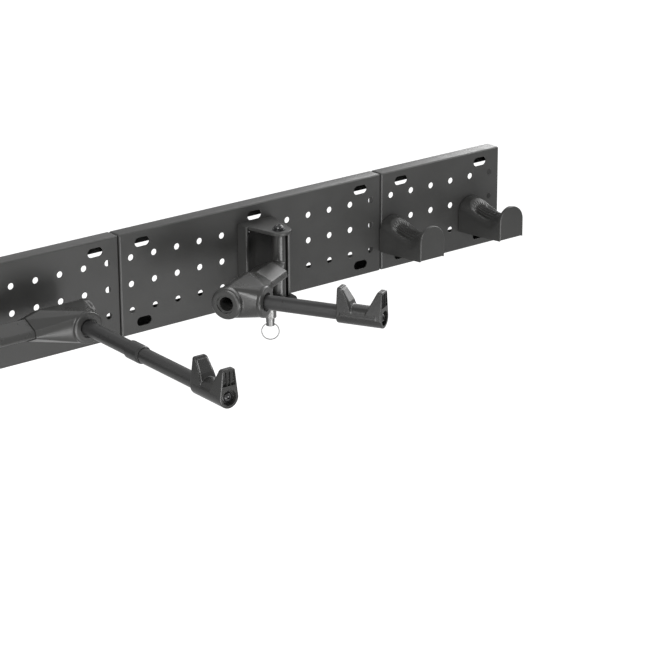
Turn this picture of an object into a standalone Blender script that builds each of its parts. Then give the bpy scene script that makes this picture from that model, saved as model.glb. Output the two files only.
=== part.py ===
"""Wall-mounted bike rack: perforated steel rails, two folding support arms and two hooks.

Metres, +Z up. The wall is the plane Y = 0 and the rack stands out towards -Y. The origin is
on the wall, on the main rail's upper lip, in the middle of that rail.
"""

import math
from collections import namedtuple

import bmesh
import bpy
from mathutils import Matrix, Vector

# Clearance between pieces that touch, and how far a cutter runs past the face that it cuts
FIT = 0.0003
OVERCUT = 0.002

# Rails: folded sheet with a square pattern of holes
PITCH = 0.0375
RAIL_COLUMNS = 12
EXTENSION_COLUMNS = 6
RAIL_HEIGHT = 0.145
RAIL_DEPTH = 0.024
SHEET = 0.0015
FOLD_RADIUS = 0.0025
LIP_WIDTH = 0.0255
HOLE_DIAMETER = 0.009
ACCESS_SLOT_LENGTH = 0.024
ACCESS_SLOT_HEIGHT = 0.013
WALL_SLOT_LENGTH = 0.016
WALL_SLOT_HEIGHT = 0.0065
WALL_LINE_ABOVE_ROW = 0.066
HOLE_SIDES = 12
SLOT_SIDES = 12

# Bracket, measured from the pivot axis and from the middle row of holes
RIGHT_PIVOT_X = 0.0
LEFT_PIVOT_COLUMNS = 13
PIVOT_REACH = 0.0555
BRACKET_EDGE = 0.01125
BASE_THICKNESS = 0.006
LUG_ABOVE_BOLTS = 0.0118
LUG_THICKNESS = 0.005
LUG_RADIUS = 0.017
DEEP_WALL = 0.004
LOW_WALL = 0.004
LOW_WALL_DEPTH = 0.020
FOOT_BELOW_BOLTS = 0.0125
FOOT_THICKNESS = 0.006
FOOT_EDGE = 0.00975
FOOT_RADIUS = 0.024
PIN_BOSS_RADIUS = 0.0098

# Bolts and nuts
PIVOT_BOLT = 0.008
CLAMP_BOLT = 0.0078
CLAMP_HEAD = 0.0105
CLAMP_HEAD_HEIGHT = 0.004
CLAMP_PLATE_THICKNESS = 0.004
CLAMP_PLATE_EDGE = 0.009
NUT_FLATS = 0.013
BOLT_CLEARANCE = 0.0003
BOLT_TAIL = 0.0015
BUTTON_HEAD = ((0.0, 1.0), (0.45, 1.0), (0.78, 0.75), (1.0, 0.3), (1.0, 0.0))
SOCKET_FLOOR = 0.35
SOCKET_SHARE = 3

# Pivot stack
PIVOT_WASHER = 0.018
PIVOT_WASHER_THICKNESS = 0.0012
PIVOT_HEAD = 0.0135
PIVOT_HEAD_HEIGHT = 0.0045
THRUST_WASHER = 0.017
THRUST_WASHER_THICKNESS = 0.001
LOCK_NUT_HEIGHT = 0.008

# Swivel
BARREL = 0.0175
NECK_AXIS_LEVEL = -0.0025
NECK_START = 0.020
NECK_CORNER = 0.007
NECK_END_SHARE = 0.75
NECK_RIDGE = 0.0143
NECK_KEEL = 0.0155
NECK_EDGE = (0.0225, 0.0028)
NECK_SIDE = (0.0245, -0.0040)
NECK_ROOT_TOP = 0.004
NECK_ROOT_BOTTOM = -0.016
SEAM_REACH = 0.079
INDEX_RADIUS = 0.0275
INDEX_THICKNESS = 0.0055
INDEX_HOLE = 0.0068
INDEX_STEP = 34.0
INDEX_MARGIN = 15.0

# Hub
HUB_ROOT_REACH = 0.100
TUBE_AXIS_REACH = 0.1455
HUB_END_REACH = 0.1753
HUB_COLLAR_RADIUS = 0.0217
HUB_CORE_RADIUS = 0.019
HUB_COLLAR_LENGTH = 0.009
SOCKET_REACH = 0.0466
HUB_RECESS = 0.025
HUB_RECESS_DEPTH = 0.003
HUB_WELL = 0.0195
HUB_WELL_FLOOR = 0.095
HUB_BOLT = 0.010
HUB_BOLT_HEAD = 0.016
HUB_BOLT_HEAD_HEIGHT = 0.010
HUB_BOLT_GRIP = 0.029
HUB_BOLT_CHAMFER = 0.0005
WEB_BETWEEN_BORES = 0.003

# Arm tubes
TUBE = 0.020
TUBE_WALL = 0.0018
BUSH_WALL = 0.0014
BUSH_SETBACK = 0.003
SOCKET_MOUTH = 0.026
SOCKET_MOUTH_DEPTH = 0.0022
ARM_TUBE_LENGTH = 0.1902
EXTENSION_LENGTH = 0.143
COUPLING_LENGTH = 0.0295
COUPLING_WALL = 0.0017
COUPLING_OUTWARD = 0.003
PLUG_LENGTH = 0.024

# Cradles
CRADLE_LENGTH = 0.0635
CRADLE_RADIUS = 0.0138
CRADLE_TOP = 0.0365
CRADLE_TOP_WIDTH = 0.019
CRADLE_CORNER = 0.003
INNER_JAW_TOP = 0.0055
INNER_JAW_FOOT = 0.0225
OUTER_JAW_TOP = 0.0075
OUTER_JAW_FOOT = 0.0225
JAW_KNEE = (0.0165, 0.0185)
SCREW_WALL = 0.004
SCREW_RECESS = 0.0226
SCREW_RECESS_DEPTH = 0.006
CRADLE_SCREW = 0.006
CRADLE_SCREW_HEAD = 0.014
CRADLE_SCREW_HEAD_HEIGHT = 0.0046
CRADLE_SCREW_LENGTH = 0.022
PANEL_WIDTH = 0.0045
PANEL_DEPTH = 0.0018
RIB_WIDTH = 0.0014
PANEL_EDGE = 0.0028

# Pull pin
PIN_DISTANCE = 0.022
PIN_ANGLE = 196.0
PIN_SHAFT = 0.006
PIN_KNOB = 0.012
PIN_TRAVEL = 0.007
PIN_HOUSING = 0.0172
PIN_SPIGOT = 0.012
PIN_HOUSING_LENGTH = 0.015
PIN_KNOB_SHOWN = 0.0122
PIN_KNOB_HIDDEN = 0.0023
PIN_RING_ABOVE_END = 0.0035
PIN_PARKED_BELOW_DISC = 0.0011
RING_HOLE = 0.0034
RING_HOLE_FLARE = 0.0055
RING_HOLE_FLARE_DEPTH = 0.0027
RING_RADIUS = 0.01205
RING_WIRE = 0.0015
RING_AXIS_ANGLE = -38.0

# Hooks
HOOK_COLUMNS = (1, 5)
HOOK_WIDTH = 0.0443
HOOK_REACH = 0.093
HOOK_BACK_TOP = 0.008
HOOK_SADDLE_TOP = -0.003
HOOK_SADDLE_REACH = 0.064
HOOK_FRONT_TOP = 0.013
HOOK_FRONT_PLATE = 0.005
HOOK_BACK_BOTTOM = -0.0435
HOOK_FRONT_BOTTOM = -0.036
HOOK_WALL = 0.0032
HOOK_BACK_PLATE = 0.006
HOOK_BOSS = 0.0115
HOOK_BOSS_LENGTH = 0.014
HOOK_SCREW = 0.0058
HOOK_SCREW_HEAD = 0.0136
HOOK_SCREW_HEAD_HEIGHT = 0.0046
HOOK_SCREW_FLANGE = 0.0013
HOOK_SCREW_LENGTH = 0.020
HOOK_ARCH_SIDES = 10
HOOK_STATIONS = 6
HOOK_RISE_POWER = 2.4
HOOK_RISE_STATIONS = (0.3, 0.55, 0.75, 0.9)

# Rest angles and travel of the arms, in degrees seen from above
RIGHT_NECK_ANGLE = 209.0
LEFT_NECK_ANGLE = -0.7
NECK_NEAR_WALL = 172.0
NECK_STRAIGHT_OUT = 280.0

SIDES = 20
SMALL_SIDES = 14
BOLT_SIDES = 12
MERGE = 0.00005

ROW_LEVEL = -WALL_LINE_ABOVE_ROW
RAIL_FRONT = -RAIL_DEPTH
BRACKET_WIDTH = PITCH + 2 * BRACKET_EDGE
BRACKET_TOP = PITCH + LUG_ABOVE_BOLTS
FOOT_TOP = -PITCH - FOOT_BELOW_BOLTS
FOOT_WIDTH = PITCH + 2 * FOOT_EDGE

Frame = namedtuple("Frame", "empty mirror")


def start_scene():
    for old in list(bpy.data.objects):
        bpy.data.objects.remove(old)


def new_collection(name):
    collection = bpy.data.collections.new(name)
    bpy.context.scene.collection.children.link(collection)
    return collection


def new_material(name, color, roughness, metallic):
    material = bpy.data.materials.new(name)
    material.use_nodes = True
    surface = material.node_tree.nodes["Principled BSDF"]
    surface.inputs["Base Color"].default_value = (*color, 1.0)
    surface.inputs["Roughness"].default_value = roughness
    surface.inputs["Metallic"].default_value = metallic
    return material


start_scene()
PARTS = new_collection("wall_bike_rack")
CUTTERS = new_collection("cutters")
POWDER_COAT = new_material("black_powder_coat", (0.045, 0.045, 0.043), 0.5, 0.0)
CAST_COAT = new_material("black_cast_coat", (0.05, 0.05, 0.048), 0.45, 0.0)
TUBE_COAT = new_material("black_tube_coat", (0.05, 0.05, 0.05), 0.35, 0.0)
PLASTIC = new_material("black_plastic", (0.04, 0.04, 0.038), 0.55, 0.0)
BLACK_STEEL = new_material("black_oxide_steel", (0.02, 0.02, 0.02), 0.3, 0.9)
PLATED_STEEL = new_material("zinc_plated_steel", (0.6, 0.6, 0.6), 0.3, 1.0)


def new_empty(name, location, turn=0.0, parent=None):
    empty = bpy.data.objects.new(name, None)
    PARTS.objects.link(empty)
    empty.parent = parent
    empty.location = location
    empty.rotation_euler = (0.0, 0.0, turn)
    return empty


def add_object(name, mesh, material, frame):
    item = bpy.data.objects.new(name, mesh)
    item.parent = frame.empty
    if material:
        mesh.materials.append(material)
        PARTS.objects.link(item)
    else:
        CUTTERS.objects.link(item)
        item.hide_render = True
        item.display_type = "WIRE"
    return item


def solid(name, shape, material, frame):
    """An object from a closed bmesh in the frame's axes. With no material it is a cutter."""
    for vertex in shape.verts:
        vertex.co = vertex.co * frame.mirror
    bmesh.ops.recalc_face_normals(shape, faces=shape.faces)
    if shape.calc_volume(signed=True) < 0:
        bmesh.ops.reverse_faces(shape, faces=shape.faces)
    mesh = bpy.data.meshes.new(name)
    shape.to_mesh(mesh)
    shape.free()
    mesh.shade_smooth()
    mesh.set_sharp_from_angle(angle=math.radians(35.0))
    return add_object(name, mesh, material, frame)


def turned(name, profile, material, frame, origin, axis, sides=SIDES, bored=False):
    """A lathe shape. The profile is (radius, height) pairs, down its outer side."""
    mesh = bpy.data.meshes.new(name)
    count = len(profile)
    edges = [(i, i + 1) for i in range(count - 1)]
    if bored:
        edges.append((count - 1, 0))
    mesh.from_pydata([(radius, 0.0, height) for radius, height in profile], edges, [])
    item = add_object(name, mesh, material, frame)
    item.location = Vector(origin) * frame.mirror
    item.rotation_mode = "QUATERNION"
    item.rotation_quaternion = (Vector(axis) * frame.mirror).to_track_quat("Z", "Y")
    screw = item.modifiers.new("turn", "SCREW")
    screw.steps = sides
    screw.render_steps = sides
    screw.use_merge_vertices = True
    screw.merge_threshold = MERGE
    return item


def combine(target, tool, operation):
    boolean = target.modifiers.new(tool.name, "BOOLEAN")
    boolean.operation = operation
    boolean.solver = "EXACT"
    boolean.object = tool


def cut(target, tool):
    combine(target, tool, "DIFFERENCE")


def fuse(target, tool):
    combine(target, tool, "UNION")


def add_box(shape, low, high):
    low = Vector(low)
    high = Vector(high)
    size = high - low
    place = Matrix.Translation((low + high) / 2) @ Matrix.Diagonal((*size, 1.0))
    return bmesh.ops.create_cube(shape, size=1.0, matrix=place)["verts"]


def add_rod(shape, radius, start, end, sides=SIDES, end_radius=None):
    start = Vector(start)
    end = Vector(end)
    along = end - start
    place = Matrix.Translation((start + end) / 2) @ along.to_track_quat("Z", "Y").to_matrix().to_4x4()
    far_radius = radius if end_radius is None else end_radius
    result = bmesh.ops.create_cone(
        shape, cap_ends=True, segments=sides, radius1=radius, radius2=far_radius,
        depth=along.length, matrix=place)
    return result["verts"]


def rod(name, radius, start, end, material, frame, sides=SIDES):
    shape = bmesh.new()
    add_rod(shape, radius, start, end, sides)
    return solid(name, shape, material, frame)


def box(name, low, high, material, frame):
    shape = bmesh.new()
    add_box(shape, low, high)
    return solid(name, shape, material, frame)


def plate(name, outline, low, high, material, frame, turn=None):
    """A flat outline given thickness from low to high along Z, then turned into place."""
    curve = bpy.data.curves.new(name, "CURVE")
    curve.dimensions = "2D"
    curve.fill_mode = "BOTH"
    curve.extrude = (high - low) / 2
    spline = curve.splines.new("POLY")
    spline.points.add(len(outline) - 1)
    for point, (x, y) in zip(spline.points, outline):
        point.co = (x, y, 0.0, 1.0)
    spline.use_cyclic_u = True
    drawn = bpy.data.objects.new(name, curve)
    CUTTERS.objects.link(drawn)
    depsgraph = bpy.context.evaluated_depsgraph_get()
    mesh = bpy.data.meshes.new_from_object(drawn.evaluated_get(depsgraph))
    bpy.data.objects.remove(drawn)
    bpy.data.curves.remove(curve)
    shape = bmesh.new()
    shape.from_mesh(mesh)
    bpy.data.meshes.remove(mesh)
    bmesh.ops.remove_doubles(shape, verts=shape.verts, dist=MERGE)
    bmesh.ops.dissolve_limit(
        shape, angle_limit=math.radians(0.5), verts=shape.verts, edges=shape.edges)
    shape.transform(Matrix.Translation((0.0, 0.0, (low + high) / 2)))
    if turn:
        shape.transform(turn)
    return solid(name, shape, material, frame)


def arc(centre, radius, first, last, steps):
    """Points on an arc, with the angles in degrees."""
    angles = [math.radians(first + (last - first) * i / steps) for i in range(steps + 1)]
    return [(centre[0] + radius * math.cos(a), centre[1] + radius * math.sin(a)) for a in angles]


def ring_points(centre, across, up, radius, sides=SIDES):
    """Points on a circle in the plane of two unit directions."""
    points = []
    for i in range(sides):
        angle = 2 * math.pi * (i + 0.5) / sides
        points.append(Vector(centre) + Vector(across) * radius * math.cos(angle)
                      + Vector(up) * radius * math.sin(angle))
    return points


def hull(name, points, material, frame):
    shape = bmesh.new()
    for point in points:
        shape.verts.new(point)
    made = bmesh.ops.convex_hull(shape, input=shape.verts)
    spare = {item for item in made["geom_interior"] + made["geom_unused"]
             if isinstance(item, bmesh.types.BMVert)}
    bmesh.ops.delete(shape, geom=list(spare), context="VERTS")
    bmesh.ops.dissolve_limit(
        shape, angle_limit=math.radians(0.5), verts=shape.verts, edges=shape.edges)
    return solid(name, shape, material, frame)


def hexagon(flats):
    return flats / math.sqrt(3.0)


# Rails


def make_rail(name, centre_x, columns):
    """A tray folded from sheet, open at the wall apart from an upper and a lower lip."""
    frame = Frame(new_empty(name + "_centre", (centre_x, 0.0, ROW_LEVEL)), Vector((1, 1, 1)))
    half_length = columns * PITCH / 2 - FIT / 2
    half_height = RAIL_HEIGHT / 2
    shape = bmesh.new()
    add_box(shape, (-half_length, RAIL_FRONT, -half_height), (half_length, 0.0, half_height))
    folds = []
    for edge in shape.edges:
        middle = (edge.verts[0].co + edge.verts[1].co) / 2
        at_front = abs(middle.y - RAIL_FRONT) < MERGE
        long_edge = abs(middle.x) < MERGE
        if at_front or long_edge:
            folds.append(edge)
    bmesh.ops.bevel(shape, geom=folds, offset=FOLD_RADIUS, segments=2, profile=0.5,
                    affect="EDGES", clamp_overlap=True)
    rail = solid(name, shape, POWDER_COAT, frame)

    inside_x = half_length - SHEET
    inside_z = half_height - SHEET
    cut(rail, box(name + "_inside", (-inside_x, RAIL_FRONT + SHEET, -inside_z),
                  (inside_x, -SHEET, inside_z), None, frame))
    opening_z = half_height - LIP_WIDTH
    cut(rail, box(name + "_back", (-inside_x, -2 * SHEET, -opening_z),
                  (inside_x, SHEET, opening_z), None, frame))

    holes = bmesh.new()
    front_start = RAIL_FRONT - SHEET
    front_end = RAIL_FRONT + 2 * SHEET
    for column in range(columns):
        x = (column + 0.5) * PITCH - columns * PITCH / 2
        for row in (-1, 0, 1):
            z = row * PITCH
            add_rod(holes, HOLE_DIAMETER / 2, (x, front_start, z), (x, front_end, z), HOLE_SIDES)
    for x in slot_places(columns):
        for z in (-1.5 * PITCH, 1.5 * PITCH):
            add_slot(holes, x, z, ACCESS_SLOT_LENGTH, ACCESS_SLOT_HEIGHT, front_start, front_end)
            add_slot(holes, x, z, WALL_SLOT_LENGTH, WALL_SLOT_HEIGHT, -2 * SHEET, SHEET)
    cut(rail, solid(name + "_holes", holes, None, frame))
    return rail


def slot_places(columns):
    """Screw slots sit between the last two columns at each end, and in a long rail's middle."""
    end = (columns / 2 - 1) * PITCH
    if columns > EXTENSION_COLUMNS:
        return (-end, 0.0, end)
    return (-end, end)


def add_slot(shape, x, z, length, height, near, far):
    """A round rod with a flat above and below, pulled apart along X into a slot."""
    half_side = math.pi / SLOT_SIDES
    radius = height / 2 / math.cos(half_side)
    rod_points = add_rod(shape, radius, (0.0, near, z), (0.0, far, z), SLOT_SIDES)
    bmesh.ops.rotate(shape, verts=rod_points, cent=(0.0, 0.0, z),
                     matrix=Matrix.Rotation(half_side, 3, "Y"))
    pull = (length - height) / 2
    for vertex in rod_points:
        vertex.co.x += x + math.copysign(pull, vertex.co.x)


main_length = RAIL_COLUMNS * PITCH
extension_centre = (main_length + EXTENSION_COLUMNS * PITCH) / 2
make_rail("rail_left", -main_length, RAIL_COLUMNS)
make_rail("rail_main", 0.0, RAIL_COLUMNS)
make_rail("rail_extension", extension_centre, EXTENSION_COLUMNS)


# Brackets


def tangent_point(corner, radius):
    """Where the outline from a base corner meets the round end about the pivot."""
    corner_angle = math.atan2(corner[1], corner[0])
    swing = math.acos(radius / math.hypot(*corner))
    angle = corner_angle - swing
    return (radius * math.cos(angle), radius * math.sin(angle)), math.degrees(angle)


def lug_outline(half_width, radius, base_y, steps):
    """A tapering outline from a straight base to a round end about the pivot."""
    _, angle = tangent_point((half_width, base_y), radius)
    return [(-half_width, base_y), (half_width, base_y)] + arc(
        (0.0, 0.0), radius, angle, -180.0 - angle, steps)


def hole_places():
    return [(x * PITCH / 2, z * PITCH) for x in (-1, 1) for z in (-1, 1)]


def pin_place():
    angle = math.radians(PIN_ANGLE)
    return PIN_DISTANCE * math.cos(angle), PIN_DISTANCE * math.sin(angle)


def make_bracket(side, frame):
    """A welded steel bracket: base, deep wall, low wall, top lug and a wider foot."""
    base_y = PIVOT_REACH - FIT
    half_width = BRACKET_WIDTH / 2
    foot_bottom = FOOT_TOP - FOOT_THICKNESS
    bracket = plate(side + "_bracket", lug_outline(half_width, LUG_RADIUS, base_y, 12),
                    foot_bottom, BRACKET_TOP, POWDER_COAT, frame)

    corner = Vector((half_width, base_y))
    tangent = Vector(tangent_point(corner, LUG_RADIUS)[0])
    inward = (tangent - corner).normalized()
    inward = Vector((inward.y, -inward.x))
    wall_front = tangent + inward * DEEP_WALL
    wall_back = corner + inward * DEEP_WALL
    pocket_back = base_y - BASE_THICKNESS
    share = (wall_back.y - pocket_back) / (wall_back.y - wall_front.y)
    wall_foot = wall_back.lerp(wall_front, share)
    clear = 2 * half_width
    low_wall_end = base_y - LOW_WALL_DEPTH
    past_wall = tangent - inward * DEEP_WALL
    pocket = [
        (-half_width + LOW_WALL, pocket_back), (wall_foot.x, pocket_back),
        (wall_front.x, wall_front.y), (past_wall.x, past_wall.y), (clear, -clear),
        (-clear, -clear), (-clear, low_wall_end), (-half_width + LOW_WALL, low_wall_end)]
    cut(bracket, plate(side + "_bracket_pocket", pocket, FOOT_TOP,
                       BRACKET_TOP - LUG_THICKNESS, None, frame))

    foot = lug_outline(FOOT_WIDTH / 2, FOOT_RADIUS, base_y, 14)
    fuse(bracket, plate(side + "_bracket_foot", foot, foot_bottom, FOOT_TOP, None, frame))
    pin_x, pin_y = pin_place()
    fuse(bracket, rod(side + "_bracket_pin_boss", PIN_BOSS_RADIUS, (pin_x, pin_y, foot_bottom),
                      (pin_x, pin_y, FOOT_TOP), None, frame))

    bores = bmesh.new()
    add_rod(bores, PIVOT_BOLT / 2 + BOLT_CLEARANCE, (0.0, 0.0, 2 * foot_bottom),
            (0.0, 0.0, 2 * BRACKET_TOP), BOLT_SIDES)
    add_rod(bores, PIN_SPIGOT / 2 + FIT, (pin_x, pin_y, foot_bottom - OVERCUT),
            (pin_x, pin_y, FOOT_TOP + OVERCUT), BOLT_SIDES)
    for x, z in hole_places():
        add_rod(bores, CLAMP_BOLT / 2 + BOLT_CLEARANCE, (x, base_y + OVERCUT, z),
                (x, pocket_back - OVERCUT, z), BOLT_SIDES)
    cut(bracket, solid(side + "_bracket_bores", bores, None, frame))


def make_clamp_bolts(side, frame):
    """Four button-head bolts through the bracket's base and the rail, into a plate behind it."""
    head_seat = PIVOT_REACH - FIT - BASE_THICKNESS - FIT
    head_end = head_seat - CLAMP_HEAD_HEIGHT
    plate_front = PIVOT_REACH + SHEET + FIT
    plate_back = plate_front + CLAMP_PLATE_THICKNESS
    bolt_end = plate_back + BOLT_TAIL
    bores = bmesh.new()
    for number, (x, z) in enumerate(hole_places(), start=1):
        name = "%s_bracket_bolt_%d" % (side, number)
        dome = bmesh.new()
        add_rod(dome, CLAMP_HEAD / 2, (x, head_seat, z), (x, head_end, z), BOLT_SIDES,
                end_radius=CLAMP_HEAD / SOCKET_SHARE)
        bolt = solid(name, dome, BLACK_STEEL, frame)
        fuse(bolt, rod(name + "_shank", CLAMP_BOLT / 2, (x, head_seat - CLAMP_HEAD_HEIGHT / 2, z),
                       (x, bolt_end, z), None, frame, BOLT_SIDES))
        cut(bolt, rod(name + "_socket", hexagon(CLAMP_HEAD / SOCKET_SHARE),
                      (x, head_seat - CLAMP_HEAD_HEIGHT / 2, z),
                      (x, head_end - CLAMP_HEAD_HEIGHT, z), None, frame, sides=6))
        add_rod(bores, CLAMP_BOLT / 2 + BOLT_CLEARANCE, (x, plate_front - OVERCUT, z),
                (x, bolt_end, z), BOLT_SIDES)
    reach_x = PITCH / 2 + CLAMP_PLATE_EDGE
    reach_z = PITCH + CLAMP_PLATE_EDGE
    backing = box(side + "_clamp_plate", (-reach_x, plate_front, -reach_z),
                  (reach_x, plate_back, reach_z), PLATED_STEEL, frame)
    cut(backing, solid(side + "_clamp_plate_bores", bores, None, frame))


def button_head(radius, seat, height):
    """The domed outline of a head, from its crown down to its seat."""
    return [(radius * across, seat + height * up) for across, up in BUTTON_HEAD]


def make_pivot(side, frame):
    """A long button-head bolt down through the lugs and the swivel, with its washers and nut."""
    up = (0.0, 0.0, 1.0)
    here = (0.0, 0.0, 0.0)
    bore = PIVOT_BOLT / 2 + BOLT_CLEARANCE
    washer_low = BRACKET_TOP + FIT
    washer_high = washer_low + PIVOT_WASHER_THICKNESS
    make_washer(side + "_pivot_washer", PIVOT_WASHER / 2, bore, washer_low, washer_high, frame)
    lug_under = BRACKET_TOP - LUG_THICKNESS
    make_washer(side + "_upper_thrust_washer", THRUST_WASHER / 2, bore,
                lug_under - FIT - THRUST_WASHER_THICKNESS, lug_under - FIT, frame)
    make_washer(side + "_lower_thrust_washer", THRUST_WASHER / 2, bore,
                FOOT_TOP + FIT, FOOT_TOP + FIT + THRUST_WASHER_THICKNESS, frame)

    seat = washer_high + FIT
    foot_bottom = FOOT_TOP - FOOT_THICKNESS
    nut_top = foot_bottom - FIT
    tip = nut_top - LOCK_NUT_HEIGHT - BOLT_TAIL
    crown = seat + PIVOT_HEAD_HEIGHT
    outline = button_head(PIVOT_HEAD / 2, seat, PIVOT_HEAD_HEIGHT)
    outline += [(PIVOT_BOLT / 2, seat), (PIVOT_BOLT / 2, tip), (0.0, tip)]
    bolt = turned(side + "_pivot_bolt", outline, BLACK_STEEL, frame, here, up, SMALL_SIDES)
    socket = rod(side + "_pivot_socket", hexagon(PIVOT_HEAD / SOCKET_SHARE),
                 (0.0, 0.0, seat + SOCKET_FLOOR * PIVOT_HEAD_HEIGHT), (0.0, 0.0, 2 * crown),
                 None, frame, sides=6)
    cut(bolt, socket)

    nut = rod(side + "_pivot_nut", hexagon(NUT_FLATS), (0.0, 0.0, nut_top - LOCK_NUT_HEIGHT),
              (0.0, 0.0, nut_top), BLACK_STEEL, frame, sides=6)
    cut(nut, rod(side + "_pivot_nut_bore", PIVOT_BOLT / 2 + BOLT_CLEARANCE / 2, (0.0, 0.0, 2 * tip),
                 (0.0, 0.0, nut_top + OVERCUT), None, frame))


def make_washer(name, outer, bore, low, high, frame):
    turned(name, [(outer, high), (outer, low), (bore, low), (bore, high)], BLACK_STEEL, frame,
           (0.0, 0.0, 0.0), (0.0, 0.0, 1.0), SMALL_SIDES, bored=True)


# Pull pins


def make_pull_pin(side, frame, ring_frame):
    """A housing screwed into the foot, a pin that slides up in it, and a ring to pull it by."""
    up = (0.0, 0.0, 1.0)
    here = (0.0, 0.0, 0.0)
    foot_bottom = FOOT_TOP - FOOT_THICKNESS
    shoulder = foot_bottom - FIT
    housing_end = shoulder - PIN_HOUSING_LENGTH
    knob_top = housing_end + PIN_KNOB_HIDDEN
    knob_bore = PIN_KNOB / 2 + FIT
    bore_floor = knob_top + PIN_TRAVEL + FIT
    shaft_bore = PIN_SHAFT / 2 + FIT
    turned(side + "_pin_housing", [
        (PIN_SPIGOT / 2, FOOT_TOP - FIT), (PIN_SPIGOT / 2, shoulder), (PIN_HOUSING / 2, shoulder),
        (PIN_HOUSING / 2, housing_end), (knob_bore, housing_end), (knob_bore, bore_floor),
        (shaft_bore, bore_floor), (shaft_bore, FOOT_TOP - FIT)], PLATED_STEEL, frame, here, up,
        SMALL_SIDES, bored=True)

    disc_under = FOOT_TOP + THRUST_WASHER_THICKNESS + 2 * FIT
    shaft_top = disc_under - PIN_PARKED_BELOW_DISC
    knob_end = housing_end - PIN_KNOB_SHOWN
    edge = PIN_KNOB / 20
    pin = turned(side + "_lock_pin", [
        (0.0, shaft_top), (PIN_SHAFT / 2 - edge, shaft_top), (PIN_SHAFT / 2, shaft_top - edge),
        (PIN_SHAFT / 2, knob_top), (PIN_KNOB / 2, knob_top), (PIN_KNOB / 2, knob_end + edge),
        (PIN_KNOB / 2 - edge, knob_end), (0.0, knob_end)], PLATED_STEEL, frame, here, up,
        SMALL_SIDES)

    ring_level = knob_end + PIN_RING_ABOVE_END
    angle = math.radians(RING_AXIS_ANGLE)
    across = Vector((math.cos(angle), math.sin(angle), 0.0))
    centre = Vector((0.0, 0.0, ring_level))
    past = PIN_KNOB
    flare_start = PIN_KNOB / 2 - RING_HOLE_FLARE_DEPTH
    slope = (RING_HOLE_FLARE - RING_HOLE) / 2 / RING_HOLE_FLARE_DEPTH
    mouth = RING_HOLE / 2 + slope * (past - flare_start)
    cut(pin, turned(side + "_ring_hole", [
        (0.0, past), (mouth, past), (RING_HOLE / 2, flare_start), (RING_HOLE / 2, -flare_start),
        (mouth, -past), (0.0, -past)], None, frame, centre, across, BOLT_SIDES))

    bpy.ops.mesh.primitive_torus_add(major_radius=RING_RADIUS, minor_radius=RING_WIRE / 2,
                                     major_segments=24, minor_segments=6)
    ring = bpy.context.object
    ring.name = side + "_pin_ring"
    ring.data.materials.append(PLATED_STEEL)
    ring.data.shade_smooth()
    for holder in list(ring.users_collection):
        holder.objects.unlink(ring)
    PARTS.objects.link(ring)
    mirrored = across * frame.mirror
    stand = Matrix((mirrored, (0.0, 0.0, 1.0), mirrored.cross(Vector((0.0, 0.0, 1.0))))).transposed()
    ring.data.transform(Matrix.Translation((0.0, 0.0, -RING_RADIUS)) @ stand.to_4x4())
    ring.parent = ring_frame.empty


# Swivels


def neck_section(reach, share=1.0):
    """The neck's section about its axis: a low roof, short upright sides and a keel."""
    half = [(0.0, NECK_RIDGE), NECK_EDGE, NECK_SIDE, (0.0, -NECK_KEEL)]
    return [Vector((reach, hand * share * across, share * up))
            for hand in (-1, 1) for across, up in half]


def index_angles(neck_angle, hand):
    """Directions of the index holes from the neck: at rest, straight out and evenly between."""
    rest = neck_angle if hand > 0 else 180.0 - neck_angle
    swing = NECK_STRAIGHT_OUT - rest
    steps = round(swing / INDEX_STEP)
    return [PIN_ANGLE - rest - swing * i / steps for i in range(steps + 1)]


def make_swivel(side, frame, angles):
    """A cast upright barrel with an index disc at its foot and a neck that carries the hub."""
    foot = FOOT_TOP + THRUST_WASHER_THICKNESS + 2 * FIT
    top = BRACKET_TOP - LUG_THICKNESS - THRUST_WASHER_THICKNESS - 2 * FIT
    swivel = rod(side + "_swivel", BARREL / 2, (0.0, 0.0, foot), (0.0, 0.0, top), CAST_COAT, frame)

    level = Vector((0.0, 0.0, NECK_AXIS_LEVEL))
    start = [point + level for point in neck_section(NECK_START, NECK_END_SHARE)]
    block = start + [point + level for point in neck_section(NECK_START + NECK_CORNER)]
    block += [point + level for point in neck_section(SEAM_REACH - FIT / 2)]
    fuse(swivel, hull(side + "_neck", block, None, frame))
    root = [point + Vector((NECK_CORNER / 2, 0.0, 0.0)) for point in start]
    for height in (NECK_ROOT_BOTTOM, NECK_ROOT_TOP):
        root += ring_points((0.0, 0.0, height), (1.0, 0.0, 0.0), (0.0, 1.0, 0.0), BARREL / 2 - FIT)
    fuse(swivel, hull(side + "_neck_root", root, None, frame))

    first = min(angles) - INDEX_MARGIN
    last = PIN_ANGLE - NECK_NEAR_WALL + INDEX_MARGIN
    sector = [(0.0, 0.0)] + arc((0.0, 0.0), INDEX_RADIUS, first, last, 14)
    fuse(swivel, plate(side + "_index_disc", sector, foot, foot + INDEX_THICKNESS, None, frame))

    bores = bmesh.new()
    add_rod(bores, PIVOT_BOLT / 2 + BOLT_CLEARANCE, (0.0, 0.0, 2 * foot), (0.0, 0.0, 2 * top),
            BOLT_SIDES)
    for angle in angles:
        turn = math.radians(angle)
        x = PIN_DISTANCE * math.cos(turn)
        y = PIN_DISTANCE * math.sin(turn)
        add_rod(bores, INDEX_HOLE / 2, (x, y, foot - OVERCUT), (x, y, foot + 2 * INDEX_THICKNESS),
                BOLT_SIDES)
    bolt_depth = SEAM_REACH - HUB_BOLT_GRIP - FIT
    add_rod(bores, HUB_BOLT / 2 + BOLT_CLEARANCE, (bolt_depth, 0.0, NECK_AXIS_LEVEL),
            (2 * SEAM_REACH, 0.0, NECK_AXIS_LEVEL), BOLT_SIDES)
    cut(swivel, solid(side + "_swivel_bores", bores, None, frame))


# Hubs, in a frame on the neck's axis


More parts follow.
